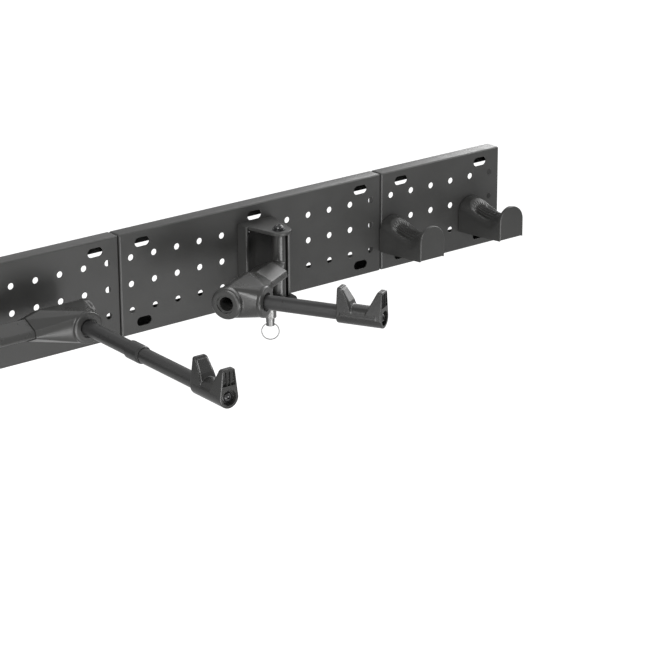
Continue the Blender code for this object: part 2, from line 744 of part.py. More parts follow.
def make_hub(side, frame):
    """A cast elbow: round face on the neck's line, round socket square to it, flat webs."""
    side_way = (0.0, 1.0, 0.0)
    up = (0.0, 0.0, 1.0)
    along = (1.0, 0.0, 0.0)
    collar_start = HUB_END_REACH - HUB_COLLAR_LENGTH
    socket_start = SOCKET_REACH - HUB_COLLAR_LENGTH
    points = neck_section(SEAM_REACH + FIT / 2)
    for reach in (HUB_ROOT_REACH, collar_start):
        points += ring_points((reach, 0.0, 0.0), side_way, up, HUB_CORE_RADIUS)
    points += ring_points((TUBE_AXIS_REACH, socket_start, 0.0), along, up, HUB_CORE_RADIUS)
    for level in (-HUB_COLLAR_RADIUS, HUB_COLLAR_RADIUS):
        points += [Vector((HUB_ROOT_REACH, 0.0, level)), Vector((collar_start, 0.0, level)),
                   Vector((TUBE_AXIS_REACH, socket_start, level))]
    hub = hull(side + "_hub", points, CAST_COAT, frame)
    fuse(hub, rod(side + "_hub_collar", HUB_COLLAR_RADIUS, (collar_start, 0.0, 0.0),
                  (HUB_END_REACH, 0.0, 0.0), None, frame))
    fuse(hub, rod(side + "_hub_socket", HUB_COLLAR_RADIUS, (TUBE_AXIS_REACH, socket_start, 0.0),
                  (TUBE_AXIS_REACH, SOCKET_REACH, 0.0), None, frame))

    bores = bmesh.new()
    add_rod(bores, HUB_WELL / 2, (HUB_WELL_FLOOR, 0.0, 0.0), (2 * HUB_END_REACH, 0.0, 0.0))
    socket_floor = HUB_WELL / 2 + WEB_BETWEEN_BORES
    socket_radius = TUBE / 2 + BUSH_WALL + 2 * FIT
    add_rod(bores, socket_radius, (TUBE_AXIS_REACH, socket_floor, 0.0),
            (TUBE_AXIS_REACH, 2 * SOCKET_REACH, 0.0))
    cut(hub, solid(side + "_hub_bores", bores, None, frame))
    mouths = bmesh.new()
    add_rod(mouths, HUB_RECESS / 2, (HUB_END_REACH - HUB_RECESS_DEPTH, 0.0, 0.0),
            (2 * HUB_END_REACH, 0.0, 0.0))
    add_rod(mouths, SOCKET_MOUTH / 2, (TUBE_AXIS_REACH, SOCKET_REACH - SOCKET_MOUTH_DEPTH, 0.0),
            (TUBE_AXIS_REACH, 2 * SOCKET_REACH, 0.0))
    cut(hub, solid(side + "_hub_mouths", mouths, None, frame))
    cut(hub, rod(side + "_hub_bolt_hole", HUB_BOLT / 2 + BOLT_CLEARANCE,
                 (SEAM_REACH / 2, 0.0, 0.0), (HUB_END_REACH, 0.0, 0.0), None, frame, BOLT_SIDES))


def make_hub_bolt(side, frame):
    """The bolt on the neck's axis that clamps the hub against the neck."""
    seat = HUB_WELL_FLOOR + FIT
    tip = SEAM_REACH - HUB_BOLT_GRIP
    head = HUB_BOLT_HEAD / 2
    top = seat + HUB_BOLT_HEAD_HEIGHT
    bolt = turned(side + "_hub_bolt", [
        (0.0, top), (head - HUB_BOLT_CHAMFER, top), (head, top - HUB_BOLT_CHAMFER), (head, seat),
        (HUB_BOLT / 2, seat), (HUB_BOLT / 2, tip), (0.0, tip)], BLACK_STEEL, frame,
        (0.0, 0.0, 0.0), (1.0, 0.0, 0.0), SMALL_SIDES)
    cut(bolt, rod(side + "_hub_bolt_socket", hexagon(HUB_BOLT_HEAD / 2),
                  (top - HUB_BOLT_HEAD_HEIGHT / 2, 0.0, 0.0), (2 * top, 0.0, 0.0), None, frame,
                  sides=6))


# Arm tubes, in a frame on the tube's axis at the hub


def sleeve(name, outer, inner, start, end, material, frame):
    turned(name, [(outer, end), (outer, start), (inner, start), (inner, end)], material, frame,
           (0.0, 0.0, 0.0), (0.0, 1.0, 0.0), bored=True)


def make_tubes(side, frame, extended):
    """The outer tube with its end plug, the bush in the hub and, on a long arm, the extension."""
    outer = TUBE / 2
    inner = TUBE / 2 - TUBE_WALL
    socket_floor = HUB_WELL / 2 + WEB_BETWEEN_BORES
    start = socket_floor + FIT
    sleeve(side + "_socket_bush", outer + FIT + BUSH_WALL, outer + FIT, start,
           SOCKET_REACH - BUSH_SETBACK, PLASTIC, frame)
    if extended:
        joint = start + EXTENSION_LENGTH
        sleeve(side + "_extension_tube", outer, inner, start, joint, TUBE_COAT, frame)
        middle = joint + COUPLING_OUTWARD
        sleeve(side + "_coupling_collar", outer + FIT + COUPLING_WALL, outer + FIT,
               middle - COUPLING_LENGTH / 2, middle + COUPLING_LENGTH / 2, TUBE_COAT, frame)
        start = joint + FIT
    end = start + ARM_TUBE_LENGTH
    sleeve(side + "_arm_tube", outer, inner, start, end, TUBE_COAT, frame)
    sleeve(side + "_tube_plug", inner - FIT, CRADLE_SCREW / 2 + BOLT_CLEARANCE / 2,
           end - PLUG_LENGTH, end, PLATED_STEEL, frame)
    return end


# Cradles


def cradle_outline():
    """The end view: a half round about the tube and sides that lean in to a narrower top."""
    half_top = CRADLE_TOP_WIDTH / 2
    bottom = arc((0.0, 0.0), CRADLE_RADIUS, -180.0, 0.0, 12)
    right = arc((half_top - CRADLE_CORNER, CRADLE_TOP - CRADLE_CORNER), CRADLE_CORNER, 0.0, 90.0, 3)
    left = arc((CRADLE_CORNER - half_top, CRADLE_TOP - CRADLE_CORNER), CRADLE_CORNER, 90.0, 180.0, 3)
    return bottom + right + left


def make_cradle(side, frame, tube_end):
    """A sleeve on the tube with two jaws that hold a frame tube between them."""
    end = tube_end + FIT + SCREW_WALL + SCREW_RECESS_DEPTH
    start = end - CRADLE_LENGTH
    stand = Matrix.Rotation(math.radians(90.0), 4, "X")
    cradle = plate(side + "_cradle", cradle_outline(), -end, -start, PLASTIC, frame, turn=stand)

    above = 2 * CRADLE_TOP
    knee_x, knee_z = JAW_KNEE
    side_view = Matrix(((0, 0, 1, 0), (1, 0, 0, 0), (0, 1, 0, 0), (0, 0, 0, 1)))
    mouth = [
        (start + INNER_JAW_TOP, above), (start + INNER_JAW_TOP, CRADLE_TOP - MERGE),
        (start + knee_x, knee_z), (start + INNER_JAW_FOOT, -MERGE),
        (end - OUTER_JAW_FOOT, -MERGE), (end - OUTER_JAW_FOOT, CRADLE_RADIUS / 2),
        (end - OUTER_JAW_TOP, CRADLE_TOP - MERGE), (end - OUTER_JAW_TOP, above)]
    cut(cradle, plate(side + "_cradle_mouth", mouth, -2 * CRADLE_RADIUS, 2 * CRADLE_RADIUS,
                      None, frame, turn=side_view))
    waist = rod(side + "_cradle_waist", CRADLE_RADIUS, (0.0, start + INNER_JAW_TOP, 0.0),
                (0.0, end - OUTER_JAW_TOP, 0.0), None, frame)
    fuse(cradle, waist)

    bores = bmesh.new()
    add_rod(bores, TUBE / 2 + FIT, (0.0, start - OVERCUT, 0.0), (0.0, tube_end + FIT, 0.0))
    add_rod(bores, SCREW_RECESS / 2, (0.0, end - SCREW_RECESS_DEPTH, 0.0),
            (0.0, end + OVERCUT, 0.0))
    panel_low = CRADLE_RADIUS + RIB_WIDTH
    panel_high = CRADLE_TOP - PANEL_EDGE
    for column in (-1, 0, 1):
        middle = column * (PANEL_WIDTH + RIB_WIDTH)
        add_box(bores, (middle - PANEL_WIDTH / 2, end - PANEL_DEPTH, panel_low),
                (middle + PANEL_WIDTH / 2, end + OVERCUT, panel_high))
    cut(cradle, solid(side + "_cradle_bores", bores, None, frame))
    cut(cradle, rod(side + "_cradle_screw_hole", CRADLE_SCREW / 2 + BOLT_CLEARANCE,
                    (0.0, tube_end - OVERCUT, 0.0), (0.0, end, 0.0), None, frame, BOLT_SIDES))
    return end


def make_cradle_screw(side, frame, tube_end):
    """The screw in the round recess, into the plug in the tube's end."""
    seat = tube_end + FIT + SCREW_WALL + FIT
    top = seat + CRADLE_SCREW_HEAD_HEIGHT
    tip = seat - CRADLE_SCREW_LENGTH
    outline = button_head(CRADLE_SCREW_HEAD / 2, seat, CRADLE_SCREW_HEAD_HEIGHT)
    outline += [(CRADLE_SCREW / 2, seat), (CRADLE_SCREW / 2, tip), (0.0, tip)]
    screw = turned(side + "_cradle_screw", outline, BLACK_STEEL, frame, (0.0, 0.0, 0.0),
                   (0.0, 1.0, 0.0), SMALL_SIDES)
    cut(screw, rod(side + "_cradle_screw_socket", hexagon(CRADLE_SCREW_HEAD / SOCKET_SHARE),
                   (0.0, seat + SOCKET_FLOOR * CRADLE_SCREW_HEAD_HEIGHT, 0.0), (0.0, 2 * top, 0.0),
                   None, frame, sides=6))


# Arms


def make_arm(side, hand, pivot_x, neck_angle, extended):
    """One whole arm. The left one is the mirror image of the right one."""
    across_rail = Vector((hand, 1.0, 1.0))
    across_neck = Vector((1.0, hand, 1.0))
    pivot = (pivot_x, RAIL_FRONT - PIVOT_REACH, ROW_LEVEL)
    fixed = Frame(new_empty(side + "_pivot", pivot), across_rail)
    swing = Frame(new_empty(side + "_swing", pivot, math.radians(neck_angle)), across_neck)
    tilt = Frame(new_empty(side + "_tilt", (0.0, 0.0, NECK_AXIS_LEVEL), parent=swing.empty),
                 across_neck)
    arm = Frame(new_empty(side + "_arm", (TUBE_AXIS_REACH, 0.0, 0.0), parent=tilt.empty),
                across_neck)
    pin_x, pin_y = pin_place()
    pin = Frame(new_empty(side + "_pin", (hand * pin_x, pin_y, 0.0), parent=fixed.empty),
                across_rail)
    ring_level = (FOOT_TOP - FOOT_THICKNESS - FIT - PIN_HOUSING_LENGTH - PIN_KNOB_SHOWN
                  + PIN_RING_ABOVE_END)
    ring = Frame(new_empty(side + "_ring", (0.0, 0.0, ring_level), parent=pin.empty), across_rail)

    make_bracket(side, fixed)
    make_clamp_bolts(side, fixed)
    make_pivot(side, fixed)
    make_pull_pin(side, pin, ring)
    make_swivel(side, swing, index_angles(neck_angle, hand))
    make_hub(side, tilt)
    make_hub_bolt(side, tilt)
    tube_end = make_tubes(side, arm, extended)
    make_cradle(side, arm, tube_end)
    make_cradle_screw(side, arm, tube_end)


make_arm("right", 1, RIGHT_PIVOT_X, RIGHT_NECK_ANGLE, extended=False)
make_arm("left", -1, -LEFT_PIVOT_COLUMNS * PITCH, LEFT_NECK_ANGLE, extended=True)


# Hooks


def saddle_top(reach):
    """Height of the crown: level at the rail, dished towards the front, up to the front plate."""
    front_start = HOOK_REACH - HOOK_FRONT_PLATE
    if reach >= front_start:
        return HOOK_FRONT_TOP
    if reach > HOOK_SADDLE_REACH:
        share = (reach - HOOK_SADDLE_REACH) / (front_start - HOOK_SADDLE_REACH)
        return HOOK_SADDLE_TOP + (HOOK_FRONT_TOP - HOOK_SADDLE_TOP) * share ** HOOK_RISE_POWER
    share = reach / HOOK_SADDLE_REACH
    return HOOK_BACK_TOP + (HOOK_SADDLE_TOP - HOOK_BACK_TOP) * (1 - math.cos(math.pi * share)) / 2


def arch_loop(reach, half_width, top, bottom):
    """A section across the hook: flat bottom, straight sides and a half-round crown."""
    centre = top - half_width
    crown = arc((0.0, centre), half_width, 0.0, 180.0, HOOK_ARCH_SIDES)
    outline = [(half_width, bottom)] + crown + [(-half_width, bottom)]
    return [Vector((x, -reach, z)) for x, z in outline]


def loft(name, loops, material, frame):
    """A closed skin through sections that have equal counts of points."""
    shape = bmesh.new()
    rings = [[shape.verts.new(point) for point in loop] for loop in loops]
    for near, far in zip(rings, rings[1:]):
        for i in range(len(near)):
            j = (i + 1) % len(near)
            shape.faces.new((near[i], near[j], far[j], far[i]))
    shape.faces.new(rings[0])
    shape.faces.new(rings[-1])
    return solid(name, shape, material, frame)


def hook_bottom(reach):
    return HOOK_BACK_BOTTOM + (HOOK_FRONT_BOTTOM - HOOK_BACK_BOTTOM) * reach / HOOK_REACH


def make_hook(number, centre_x):
    """A moulded hook, hollow from below, with two screw bosses behind."""
    name = "hook_%d" % number
    frame = Frame(new_empty(name + "_rail_point", (centre_x, RAIL_FRONT, ROW_LEVEL)),
                  Vector((1, 1, 1)))
    front_start = HOOK_REACH - HOOK_FRONT_PLATE
    places = [FIT] + [HOOK_SADDLE_REACH * i / HOOK_STATIONS for i in range(1, HOOK_STATIONS + 1)]
    rise = front_start - HOOK_SADDLE_REACH
    places += [HOOK_SADDLE_REACH + rise * share for share in HOOK_RISE_STATIONS]
    places += [front_start, HOOK_REACH]
    half_width = HOOK_WIDTH / 2
    outer = [arch_loop(place, half_width, saddle_top(place), hook_bottom(place))
             for place in places]
    hook = loft(name, outer, PLASTIC, frame)

    hollow_end = front_start - rise * HOOK_RISE_STATIONS[0]
    inside = [HOOK_BACK_PLATE] + [p for p in places if HOOK_BACK_PLATE < p < hollow_end]
    hollow = [arch_loop(place, half_width - HOOK_WALL, saddle_top(place) - HOOK_WALL,
                        2 * HOOK_BACK_BOTTOM) for place in inside]
    cut(hook, loft(name + "_hollow", hollow, None, frame))
    bosses = bmesh.new()
    bores = bmesh.new()
    for level in (0.0, -PITCH):
        add_rod(bosses, HOOK_BOSS / 2, (0.0, -HOOK_BACK_PLATE / 2, level),
                (0.0, -HOOK_BACK_PLATE - HOOK_BOSS_LENGTH, level), BOLT_SIDES)
        add_rod(bores, HOOK_SCREW / 2 + BOLT_CLEARANCE, (0.0, OVERCUT, level),
                (0.0, -HOOK_SCREW_LENGTH + SHEET, level), BOLT_SIDES)
    fuse(hook, solid(name + "_bosses", bosses, None, frame))
    cut(hook, solid(name + "_bores", bores, None, frame))


def make_hook_screws(number, centre_x):
    """Two flange-head screws from behind the rail into the hook's bosses."""
    frame = Frame(new_empty("hook_%d_screw_line" % number, (centre_x, RAIL_FRONT, ROW_LEVEL)),
                  Vector((1, 1, 1)))
    seat = SHEET + FIT
    head = HOOK_SCREW_HEAD / 2
    flange_end = seat + HOOK_SCREW_FLANGE
    head_end = seat + HOOK_SCREW_HEAD_HEIGHT
    tip = seat - HOOK_SCREW_LENGTH
    for place, level in (("upper", 0.0), ("lower", -PITCH)):
        turned("hook_%d_%s_screw" % (number, place), [
            (0.0, head_end), (0.5 * head, head_end), (0.65 * head, flange_end),
            (head, flange_end), (head, seat), (HOOK_SCREW / 2, seat), (HOOK_SCREW / 2, tip),
            (0.0, tip)], BLACK_STEEL, frame, (0.0, 0.0, level), (0.0, 1.0, 0.0), BOLT_SIDES)


extension_start = main_length / 2
for hook_number, hook_column in enumerate(HOOK_COLUMNS, start=1):
    hook_x = extension_start + (hook_column - 0.5) * PITCH
    make_hook(hook_number, hook_x)
    make_hook_screws(hook_number, hook_x)
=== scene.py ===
"""Wall-mounted bike rack, dressed: folded steel rails, two hooks and two folding support arms.

Metres, +Z up. The wall is the plane Y = 0 and the rack stands out towards -Y.
"""

import math

import bmesh
import bpy
import numpy as np
from mathutils import Matrix, Vector
from mathutils.geometry import tessellate_polygon


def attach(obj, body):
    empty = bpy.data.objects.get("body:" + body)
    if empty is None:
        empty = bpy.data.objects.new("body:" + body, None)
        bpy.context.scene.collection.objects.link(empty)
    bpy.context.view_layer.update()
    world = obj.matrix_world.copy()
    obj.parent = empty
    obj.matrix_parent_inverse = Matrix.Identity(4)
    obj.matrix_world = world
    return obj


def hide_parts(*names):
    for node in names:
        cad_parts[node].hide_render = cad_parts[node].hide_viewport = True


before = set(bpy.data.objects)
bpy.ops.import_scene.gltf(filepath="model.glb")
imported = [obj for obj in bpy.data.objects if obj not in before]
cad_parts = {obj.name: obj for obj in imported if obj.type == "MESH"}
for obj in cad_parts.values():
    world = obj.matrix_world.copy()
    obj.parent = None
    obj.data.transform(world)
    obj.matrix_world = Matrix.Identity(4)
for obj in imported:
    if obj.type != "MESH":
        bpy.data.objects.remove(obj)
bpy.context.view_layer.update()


# Rails
#
# Three trays folded from 1.5 mm steel sheet, punched with a square pattern of holes and with
# long slots for the wall screws. The lips turned in at the wall carry the rack. Powder coated.

PITCH = 0.0375
FIT = 0.0003
RAIL_END_GAP = 0.0007
SHEET = 0.0015
RAIL_DEPTH = 0.024
RAIL_HEIGHT = 0.145
FOLD_RADIUS = 0.0025
LIP_WIDTH = 0.0255
ROW_LEVEL = -0.066
HOLE_RADIUS = 0.0045
ACCESS_SLOT = (0.024, 0.013)
WALL_SLOT = (0.016, 0.0065)
SLOT_ROW = 1.5 * PITCH
LONG_RAIL_COLUMNS = 12
SHORT_RAIL_COLUMNS = 6
FOLD_STEPS = 6
HOLE_SIDES = 40
MERGE_DISTANCE = 1e-6
SLIVER_LENGTH = 1e-7
SHARP_ANGLE = math.radians(32.0)
CLOUD_SCALE = 14.0
CLOUD_TONES = (0.3, 0.75)
SMUDGE_SCALE = 55.0
SMUDGE_RANGE = (0.3, 0.7)
GRAIN_STRENGTH = 0.6


def shader_node(nodes, kind, **inputs):
    """A new shader node with these inputs set. An underscore in a name stands for a space."""
    node = nodes.new(kind)
    for name, value in inputs.items():
        node.inputs[name.replace("_", " ")].default_value = value
    return node


def links(nodes, *pairs):
    """Joins shader sockets, given as (node, output name, node, input name)."""
    for start, output, end, socket in pairs:
        nodes.id_data.links.new(start.outputs[output], end.inputs[socket])


def coating(name, color, pale, roughness, spread, grain, depth, specular=0.5):
    """A paint or moulded finish: its colour drifts between two near tones in broad clouds, its
    roughness varies by the spread, and a fine noise of grain metres stands depth metres proud."""
    material = bpy.data.materials.new(name)
    material.use_nodes = True
    nodes = material.node_tree.nodes
    surface = nodes["Principled BSDF"]
    surface.inputs["Specular IOR Level"].default_value = specular
    place = nodes.new("ShaderNodeTexCoord")
    clouds = shader_node(nodes, "ShaderNodeTexNoise", Scale=CLOUD_SCALE, Detail=3.0)
    tones = nodes.new("ShaderNodeValToRGB")
    for stop, position, tone in zip(tones.color_ramp.elements, CLOUD_TONES, (color, pale)):
        stop.position = position
        stop.color = (*tone, 1.0)
    gloss = shader_node(nodes, "ShaderNodeMapRange", From_Min=SMUDGE_RANGE[0],
                        From_Max=SMUDGE_RANGE[1], To_Min=roughness - spread,
                        To_Max=roughness + spread)
    smudges = shader_node(nodes, "ShaderNodeTexNoise", Scale=SMUDGE_SCALE, Detail=4.0)
    peel = shader_node(nodes, "ShaderNodeTexNoise", Scale=1.0 / grain, Detail=2.0)
    bump = shader_node(nodes, "ShaderNodeBump", Strength=GRAIN_STRENGTH, Distance=depth)
    links(nodes, (place, "Object", clouds, "Vector"), (clouds, "Fac", tones, "Fac"),
          (tones, "Color", surface, "Base Color"), (place, "Object", smudges, "Vector"),
          (smudges, "Fac", gloss, "Value"), (gloss, "Result", surface, "Roughness"),
          (place, "Object", peel, "Vector"), (peel, "Fac", bump, "Height"),
          (bump, "Normal", surface, "Normal"))
    return material


powder_coat = coating("satin_powder_coat", (0.028, 0.028, 0.027), (0.034, 0.034, 0.033),
                      roughness=0.40, spread=0.04, grain=0.0011, depth=0.00005)


def grid_quads(rows, count):
    """Quads between neighbouring rows of a grid whose rows of count points close on themselves."""
    row, column = np.mgrid[0:rows - 1, 0:count]
    after = (column + 1) % count
    return np.stack([row * count + column, row * count + after, (row + 1) * count + after,
                     (row + 1) * count + column], axis=-1).reshape(-1, 4)


def mesh_of(name, shells):
    """One mesh of several skins, smooth but for its sharp edges."""
    sizes = np.cumsum([0] + [len(points) for points, _, _ in shells])
    points = np.concatenate([shell[0] for shell in shells])
    faces = []
    for start, (_, quads, tris) in zip(sizes, shells):
        faces += (quads + start).tolist() + (tris + start).tolist()
    mesh = bpy.data.meshes.new(name)
    mesh.from_pydata(points.tolist(), [], faces)
    mesh.shade_smooth()
    mesh.set_sharp_from_angle(angle=SHARP_ANGLE)
    return mesh


def finished(node, shape, material, body, rims=True):
    """A piece that stands for a node, from a mesh or a list of skins. With rims, its flat faces
    keep their own normals beside rounded edges."""
    mesh = mesh_of(node, shape) if isinstance(shape, list) else shape
    piece = bpy.data.objects.new(node + "_finish", mesh)
    mesh.materials.clear()
    mesh.materials.append(material)
    bpy.context.scene.collection.objects.link(piece)
    if rims:
        normals = piece.modifiers.new("flat_faces", "WEIGHTED_NORMAL")
        normals.keep_sharp = True
    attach(piece, body)
    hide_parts(node)
    return piece


def circle(radius, sides):
    """Points at equal angles round a circle: radius times (cos t, sin t)."""
    turn = 2 * np.pi * np.arange(sides) / sides
    return radius * np.stack([np.cos(turn), np.sin(turn)], axis=-1)


def slot_outline(length, height, sides=24):
    """A circle pulled apart along its first axis by the length less the height."""
    points = circle(height / 2, sides)
    points[:, 0] += np.where(points[:, 0] > 1e-9, 1, -1) * (length - height) / 2
    return points


def pierced(outline, holes, centre_x, depth):
    """A flat panel with holes, square to the wall's normal: triangles over the outline less the
    holes."""
    loops = [outline] + holes
    flat = np.concatenate(loops)
    loops = [[Vector((x, z, 0.0)) for x, z in loop] for loop in loops]
    points = np.stack([flat[:, 0] + centre_x, np.full(len(flat), depth), flat[:, 1] + ROW_LEVEL], -1)
    return points, np.array(tessellate_polygon(loops))


def rail_mesh(name, centre_x, columns):
    """The outer skin of the tray, as rows of points carried round its front rectangle: the front
    fold is a quarter circle, then the flange, then the fold of the lip, which dies out on the end
    flanges. Solidify gives it the sheet's thickness."""
    half_x = columns * PITCH / 2 - RAIL_END_GAP
    half_z = RAIL_HEIGHT / 2
    lip_end = half_z - LIP_WIDTH
    quarter = np.linspace(0, np.pi / 2, FOLD_STEPS)
    middle_x, middle_z = half_x - FOLD_RADIUS, half_z - FOLD_RADIUS
    corner_angles = [quarter, quarter + np.pi / 2, quarter + np.pi, quarter + 1.5 * np.pi]
    corner_middles = [(middle_x, middle_z), (-middle_x, middle_z),
                      (-middle_x, -middle_z), (middle_x, -middle_z)]
    base = np.concatenate([np.tile(middle, (FOLD_STEPS, 1)) for middle in corner_middles])
    facing = np.concatenate([np.stack([np.cos(turn), np.sin(turn)], -1) for turn in corner_angles])
    lip_stops = np.array([(-middle_x, lip_end), (-middle_x, -lip_end),
                          (middle_x, -lip_end), (middle_x, lip_end)])
    stop_facing = np.array([(-1.0, 0.0), (-1.0, 0.0), (1.0, 0.0), (1.0, 0.0)])
    places = (2 * FOLD_STEPS, 2 * FOLD_STEPS, 4 * FOLD_STEPS, 4 * FOLD_STEPS)
    base = np.insert(base, places, lip_stops, axis=0)
    facing = np.insert(facing, places, stop_facing, axis=0)
    back_fold = FOLD_RADIUS * np.abs(facing[:, 1])
    fold = quarter[:, None]
    front_out = FOLD_RADIUS * np.sin(fold) * np.ones(len(base))
    front_y = -RAIL_DEPTH + FOLD_RADIUS * (1 - np.cos(fold)) * np.ones(len(base))
    back_out = FOLD_RADIUS - back_fold * (1 - np.cos(fold))
    back_y = -back_fold * (1 - np.sin(fold))
    out = np.concatenate([front_out, back_out])
    depth = np.concatenate([front_y, back_y])
    across = base + out[:, :, None] * facing
    rows = np.stack([across[..., 0] + centre_x, depth, across[..., 1] + ROW_LEVEL], axis=-1)
    count = len(base)
    sides = grid_quads(len(rows), count)

    columns_x = (np.arange(columns) - (columns - 1) / 2) * PITCH
    holes = [circle(HOLE_RADIUS, HOLE_SIDES) + (x, row * PITCH)
             for x in columns_x for row in (-1, 0, 1)]
    slots_x = [-(columns / 2 - 1) * PITCH, (columns / 2 - 1) * PITCH]
    if columns > SHORT_RAIL_COLUMNS:
        slots_x.append(0.0)
    slot_places = [(x, level) for x in slots_x for level in (-SLOT_ROW, SLOT_ROW)]
    holes += [slot_outline(*ACCESS_SLOT) + place for place in slot_places]

    panels = [pierced(across[0], holes, centre_x, -RAIL_DEPTH)]
    lips = ((1, 4 * FOLD_STEPS + 3, 2 * FOLD_STEPS), (-1, 2 * FOLD_STEPS + 1, 4 * FOLD_STEPS + 2))
    for hand, start, stop in lips:
        outline = np.roll(across[-1], -start, axis=0)[:(stop - start) % count + 1]
        lip_slots = [slot_outline(*WALL_SLOT) + (x, hand * SLOT_ROW) for x in slots_x]
        panels.append(pierced(outline, lip_slots, centre_x, 0.0))

    points = rows.reshape(-1, 3)
    faces = sides.tolist()
    folded = len(faces)
    for panel_points, tris in panels:
        faces += (tris + len(points)).tolist()
        points = np.concatenate([points, panel_points])
    mesh = bpy.data.meshes.new(name)
    mesh.from_pydata(points.tolist(), [], faces)
    smooth = np.zeros(len(faces), bool)
    smooth[:folded] = True
    mesh.polygons.foreach_set("use_smooth", smooth)
    shape = bmesh.new()
    shape.from_mesh(mesh)
    bmesh.ops.remove_doubles(shape, verts=shape.verts, dist=MERGE_DISTANCE)
    bmesh.ops.dissolve_degenerate(shape, edges=shape.edges, dist=SLIVER_LENGTH)
    bmesh.ops.recalc_face_normals(shape, faces=shape.faces)
    largest = max(shape.faces, key=lambda face: face.calc_area() * (abs(face.normal.y) > 0.9))
    if largest.normal.y * (largest.calc_center_median().y + RAIL_DEPTH / 2) < 0:
        bmesh.ops.reverse_faces(shape, faces=shape.faces)
    shape.to_mesh(mesh)
    shape.free()
    return mesh


RAIL_CENTRES = {
    "rail_left": (-LONG_RAIL_COLUMNS * PITCH, LONG_RAIL_COLUMNS),
    "rail_main": (0.0, LONG_RAIL_COLUMNS),
    "rail_extension": ((LONG_RAIL_COLUMNS + SHORT_RAIL_COLUMNS) * PITCH / 2, SHORT_RAIL_COLUMNS),
}
for rail_name, (rail_x, rail_columns) in RAIL_CENTRES.items():
    rail_skin = rail_mesh(rail_name, rail_x, rail_columns)
    rail = finished(rail_name, rail_skin, powder_coat, "root", rims=False)
    sheet = rail.modifiers.new("sheet", "SOLIDIFY")
    sheet.thickness = SHEET
    sheet.offset = -1.0
    sheet.use_even_offset = True


# Hooks
#
# Two moulded nylon hooks, hollow from below, each held by two screws from behind the rail. The
# saddle dips between a half-round back and an upstanding front plate, with ribs down its slope.

HOOK_COLUMNS = {"hook_1": 1, "hook_2": 5}
HOOK_HALF_WIDTH = 0.0443 / 2
HOOK_REACH = 0.093
HOOK_PLATE_START = 0.088
HOOK_SLOPE_START = 0.004
HOOK_BACK_TOP = 0.008
HOOK_SADDLE_TOP = -0.003
HOOK_SADDLE_REACH = 0.064
HOOK_FRONT_TOP = 0.013
HOOK_RISE_POWER = 2.4
HOOK_BACK_BOTTOM = -0.0435
HOOK_FRONT_BOTTOM = -0.036
HOOK_WALL = 0.0032
HOOK_BACK_PLATE = 0.006
HOOK_FRONT_WALL = 0.006
HOOK_EDGE = 0.0016
HOOK_RIBS = 14
HOOK_RIB_DEPTH = 0.0015
HOOK_RIB_DELAY = 0.003
HOOK_RIB_RAMP = 0.009
HOOK_SCOOP_SPAN = 0.98
HOOK_SCOOP_SIDE = 0.12
HOOK_SCOOP_DEPTH = 0.0052
HOOK_SCOOP_START = 0.0125
HOOK_SCOOP_RAMP = 0.012
HOOK_SCOOP_SPREAD = 0.014
HOOK_SCOOP_RISE = 0.8
HOOK_SCOOP_RISE_START = 0.030
HOOK_SCOOP_RISE_LENGTH = 0.034
HOOK_SCOOP_END = 0.072
HOOK_SCOOP_END_RAMP = 0.010
HOOK_BOSS_RADIUS = 0.00575
HOOK_BOSS_LENGTH = 0.014
HOOK_SOLID_DEPTH = 0.0078
HOOK_SOLID_END = 0.027
HOOK_SOLID_RAMP = 0.008
ARCH_STEPS = 229
SIDE_STEPS = 8
SLOPE_STEPS = 80
RISE_STEPS = 22
RIM_STEPS = 5
CORNER_SHARE = 0.48

grained_nylon = coating("grained_nylon", (0.025, 0.025, 0.024), (0.032, 0.032, 0.031),
                        roughness=0.36, spread=0.04, grain=0.0006, depth=0.00002)


def smoothstep(value):
    """0 up to 0, 1 from 1, and 3 v^2 - 2 v^3 between."""
    value = np.clip(value, 0.0, 1.0)
    return value * value * (3 - 2 * value)


def saddle_top(reach):
    """The crown's height: half a cosine wave down to the saddle, a power curve up to the plate."""
    down = HOOK_BACK_TOP + (HOOK_SADDLE_TOP - HOOK_BACK_TOP) * (
        1 - np.cos(np.pi * np.clip(reach / HOOK_SADDLE_REACH, 0, 1))) / 2
    rise = (reach - HOOK_SADDLE_REACH) / (HOOK_PLATE_START - HOOK_SADDLE_REACH)
    up = HOOK_SADDLE_TOP + (HOOK_FRONT_TOP - HOOK_SADDLE_TOP) * np.clip(rise, 0, 1) ** HOOK_RISE_POWER
    return np.where(reach > HOOK_SADDLE_REACH, up, down)


def hook_bottom(reach):
    """The straight lower edge, which rises towards the front."""
    return HOOK_BACK_BOTTOM + (HOOK_FRONT_BOTTOM - HOOK_BACK_BOTTOM) * reach / HOOK_REACH


